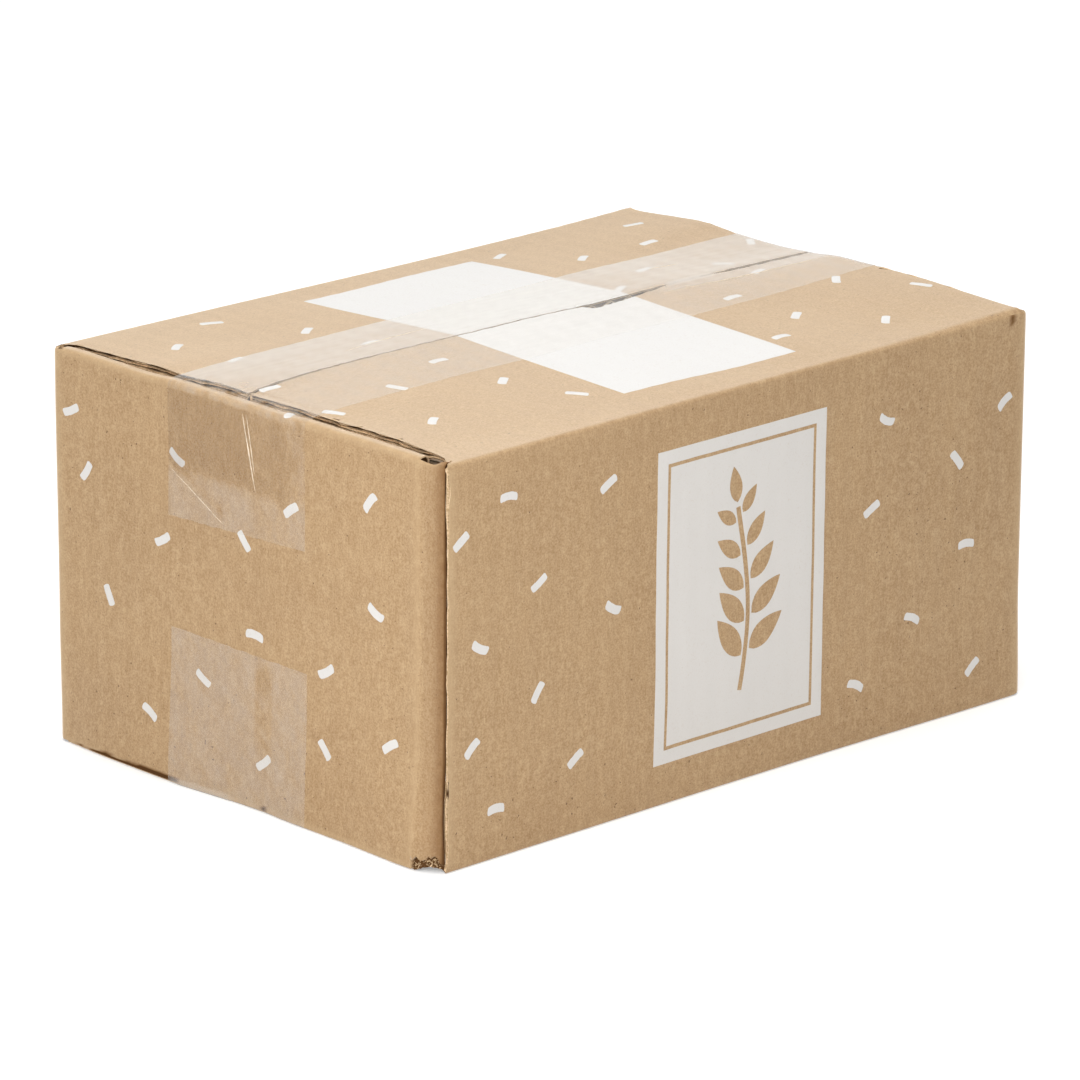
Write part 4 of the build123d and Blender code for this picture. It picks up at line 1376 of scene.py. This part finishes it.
def kraft_material():
    """The board's faces: worn pale on the folds, partly a painted highlight, with painted shade at the joint,
    along the left wall's foot and in a crack, and torn to shreds at its foot.
    """
    graph = material_graph("kraft_liner")
    place = graph.place()
    tone, grain, pulp, thin = kraft_colour(graph, place)
    # Painted shade of the flutes: the liner darkens a little in stripes at their pitch.
    flute_shade = graph.math("SINE", graph.times(graph.value("along"), 2 * math.pi / FLUTE))
    tone = graph.mix(graph.span(flute_shade, -1, 1, 0.0, 0.07), tone, KRAFT_DARK)
    # Folds are worn pale and partly given a painted highlight; the bead's pale crest is only a painted
    # highlight.
    rubbed_and_lit = graph.times(graph.value("wear_and_light"), graph.span(grain, 0.3, 0.6, 0.10, 0.36))
    tone = graph.mix(rubbed_and_lit, tone, KRAFT_PALE)
    # Painted shade darkens the liner towards shaded kraft, and past 1 towards shaded fluting.
    painted_shade, torn = graph.value("painted_shade"), graph.value("torn")
    shaded = graph.times(graph.math("MINIMUM", painted_shade, 1.0), graph.span(pulp, 0.3, 0.7, 0.75, 1.0))
    tone = graph.mix(shaded, tone, SHADED_KRAFT)
    tone = graph.mix(graph.span(painted_shade, 1.0, 1.8), tone, SHADED_FLUTING)
    # The torn foot's hollow is shaded fluting, painted shade, with pale shreds round it.
    shreds = graph.mix(graph.span(graph.noise(place, 0.5, 2, 0.7), 0.50, 0.66), SHADED_FLUTING, KRAFT_PALE)
    tone = graph.mix(torn, tone, shreds)
    height = graph.plus(graph.plus(graph.times(grain, 0.6), graph.times(pulp, 0.8)), graph.times(thin, 0.10))
    # Gloss and sheen fade where shade is painted and where the liner is torn.
    unshaded_untorn = graph.span(graph.plus(graph.times(painted_shade, 0.6), torn), 0.0, 1.0, 1.0, 0.0)
    fuzz = graph.times(graph.span(graph.facing(), 0.32, 0.68), unshaded_untorn)
    return graph.principled({
        "Base Color": tone, "Roughness": graph.span(grain, 0.3, 0.7, 0.58, 0.72),
        "Normal": graph.bump(height, 0.40, 0.10), "Specular IOR Level": graph.times(unshaded_untorn, 0.5),
        "Sheen Weight": fuzz, "Sheen Roughness": 0.5, "Sheen Tint": FUZZ_TINT})


def cut_material():
    """The torn and cut edges: paper fibres like the liner's, with painted shade down in the open flutes."""
    graph = material_graph("cut_edge")
    torn = graph.noise(graph.place(), 0.5, 3, 0.65)
    tone = graph.mix(graph.span(torn, 0.30, 0.62, 0.1, 1.0), KRAFT, CUT_PALE)
    # Painted shade: the cut darkens to shaded fluting where it is deepest.
    tone = graph.mix(graph.span(graph.value("wear_and_light"), 0.1, 0.8), SHADED_FLUTING, tone)
    return graph.principled({"Base Color": tone, "Roughness": 0.85, "Normal": graph.bump(torn, 0.6, 0.15),
                             "Specular IOR Level": 0.1})


def ink_material():
    """Matt off-white ink, thinner where the pulp is rough, greyed on the walls by painted shade."""
    graph = material_graph("white_ink")
    place = graph.place()
    grain = graph.noise(place, 0.45, 2, 0.7)
    pulp = graph.noise(place, 1.8, 3, 0.6)
    bare = graph.times(graph.span(grain, 0.50, 0.76), graph.span(pulp, 0.40, 0.70, 0.02, 0.18))
    tone = graph.mix(bare, graph.mix(graph.value("thin"), INK_WHITE, INK_WALL_GREY), KRAFT)
    return graph.principled({
        "Base Color": tone, "Roughness": graph.span(grain, 0.3, 0.7, 0.50, 0.66),
        "Normal": graph.bump(graph.plus(grain, pulp), 0.25, 0.08), "Specular IOR Level": 0.45})


def film_material():
    """Clear film. It is milky where it stands off the board, darkens the board it wets, and whitens towards
    its rim as a painted reflection.
    """
    graph = material_graph("clear_film")
    streaks = graph.noise(graph.place((0.12, 1.0, 0.12)), 2.4, 3, 0.6)
    specks = graph.noise(graph.place(), 1.1, 2, 0.6)
    haze = graph.plus(graph.value("haze"), graph.span(streaks, 0.3, 0.7, -0.014, 0.014))
    haze = graph.plus(haze, graph.span(specks, 0.6, 0.75, 0.0, 0.02))
    # Below zero the film turns brown: wetted board, and beside the fold a painted shadow.
    tone = graph.mix(graph.span(haze, -0.02, 0.02), FILM_WET_AND_SHADOW, FILM_WHITE)
    # Painted reflection: the film's white cover grows where it is seen edge on.
    grazing_reflection = graph.plus(graph.times(graph.math("POWER", graph.facing(), 5.0), 0.9), 0.03)
    cover = graph.math("MINIMUM", graph.plus(graph.math("ABSOLUTE", haze), grazing_reflection), 1.0)
    return graph.principled({"Base Color": tone, "Roughness": 0.16, "Normal": graph.bump(streaks, 0.10, 0.05),
                             "Alpha": cover, "Specular IOR Level": 0.5})


def patchy_film(name, colour, rough, size, low, high):
    """Plain film whose cover varies between two values, low and high."""
    graph = material_graph(name)
    (least, less), (most, more) = low, high
    cover = graph.span(graph.noise(graph.place(), size, 2, 0.6), least, most, less, more)
    return graph.principled({"Base Color": colour, "Roughness": rough, "Alpha": cover})


def crease_material():
    """A fold of film, its glint painted as pale, denser film."""
    return patchy_film("film_crease", FILM_GLINT, 0.22, 1.6, (0.25, 0.45), (0.7, 0.85))


def film_back_material():
    """The glued side of the film, which adds almost nothing to the side that is seen."""
    return patchy_film("clear_film_back", FILM_WHITE, 0.3, 1.4, (0.3, 0.01), (0.7, 0.035))


# Setting: floor, light and the photograph's camera
CAMERA_PLACE = (-1211.04, -1221.14, 577.96)
CAMERA_TURN = 0.7901  # from +X towards +Y
CAMERA_DOWN = 0.3001
CAMERA_ROLL = 0.0084
LENS, SENSOR = 242.76, 36.0
NEAREST_SEEN, FARTHEST_SEEN = 0.05, 50  # metres
WORLD_LIGHT = 0.47
FLOOR_GREY = 0.8
FLOOR_LIFT = 0.30  # added where the floor is seen, so that it shows white round the object's shadow
FLOOR_REACH = 6000
LAMP_AIM = (0, 0, 0.05)
LAMPS = (("near", (-0.49, -0.36, 0.26), 0.35, 1.9), ("key", (-1.55, -0.75, 1.5), 1.2, 5.4),
         ("top", (0.1, 0.1, 1.8), 1.4, 22))  # name, place and size in metres, and power in watts


def camera():
    data = bpy.data.cameras.new("camera")
    data.sensor_width, data.lens = SENSOR, LENS
    data.clip_start, data.clip_end = NEAREST_SEEN, FARTHEST_SEEN
    level = math.cos(CAMERA_DOWN)
    ahead = Vector((level * math.cos(CAMERA_TURN), level * math.sin(CAMERA_TURN), -math.sin(CAMERA_DOWN)))
    right = ahead.cross(Vector((0, 0, 1))).normalized()
    up = right.cross(ahead)
    tilted_right = math.cos(CAMERA_ROLL) * right + math.sin(CAMERA_ROLL) * up
    tilted_up = math.cos(CAMERA_ROLL) * up - math.sin(CAMERA_ROLL) * right
    turn = Matrix((tilted_right, tilted_up, -ahead)).transposed()
    obj = put_object("camera", data)
    obj.matrix_world = Matrix.Translation(Vector(CAMERA_PLACE) * MM) @ turn.to_4x4()
    bpy.context.scene.camera = obj


def area_lamp(name, place, size, power):
    data = bpy.data.lights.new(name, "AREA")
    data.shape, data.size, data.energy = "SQUARE", size, power
    obj = put_object(name, data)
    obj.location = place
    obj.rotation_mode = "QUATERNION"
    obj.rotation_quaternion = (Vector(LAMP_AIM) - Vector(place)).to_track_quat("-Z", "Y")


def seen_rays(graph):
    """1 for camera, glossy and transmission rays, which see the plain white setting."""
    path = graph.add("ShaderNodeLightPath")
    seen = graph.plus(path.outputs["Is Camera Ray"], path.outputs["Is Glossy Ray"])
    return graph.math("MINIMUM", graph.plus(seen, path.outputs["Is Transmission Ray"]), 1.0)


def setting():
    world = bpy.data.worlds.new("white")
    bpy.context.scene.world = world
    graph = Graph(world)
    strength = graph.span(seen_rays(graph), 0, 1, WORLD_LIGHT, 1.0, smooth=False)
    back = graph.add("ShaderNodeBackground", {"Color": (1, 1, 1, 1), "Strength": strength})
    graph.add("ShaderNodeOutputWorld", {"Surface": back.outputs[0]})

    graph = material_graph("floor")
    paper = graph.add("ShaderNodeBsdfDiffuse", {"Color": (FLOOR_GREY, FLOOR_GREY, FLOOR_GREY, 1)})
    glow = graph.add("ShaderNodeEmission", {"Strength": graph.times(seen_rays(graph), FLOOR_LIFT)})
    both = graph.add("ShaderNodeAddShader", {0: paper.outputs[0], 1: glow.outputs[0]})
    corners = [(x * FLOOR_REACH, y * FLOOR_REACH, 0) for x, y in ((-1, -1), (1, -1), (1, 1), (-1, 1))]
    put_mesh("floor", corners, [(0, 1, 2, 3)], [graph.finish(both)])
    for lamp in LAMPS:
        area_lamp(*lamp)


camera()
setting()

board = carton_mesh()
along, wear_and_light, torn, painted_shade = np.array(board.values).T
carton = put_mesh("carton_blank", board.points, board.faces, [kraft_material(), cut_material()],
                  board.kinds, {"along": along, "wear_and_light": wear_and_light, "torn": torn, "painted_shade": painted_shade})
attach(carton, "root")
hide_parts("carton")

ink = print_mesh()
prints = put_mesh("white_print", ink.points, ink.faces, [ink_material()], values={"thin": ink.thin}, sharp=35)
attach(prints, "root")

films = [film_material(), film_back_material()]
for name, node, strip in (("upper_film", "top_tape", film_mesh(True, TOP_TAPE_ENDS, TOP_TAPE_SLANTS)),
                          ("lower_film", "bottom_tape", film_mesh(False, FOOT_TAPE_ENDS, FOOT_TAPE_SLANTS))):
    points, faces, kinds, values = strip
    film = put_mesh(name, points, faces, films, kinds, values, sharp=55)
    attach(film, "root")
    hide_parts(node)

points, faces = crease_mesh()
creases = put_mesh("film_creases", points, faces, [crease_material()], sharp=60)
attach(creases, "root")

bpy.context.scene.view_settings.view_transform = "Standard"
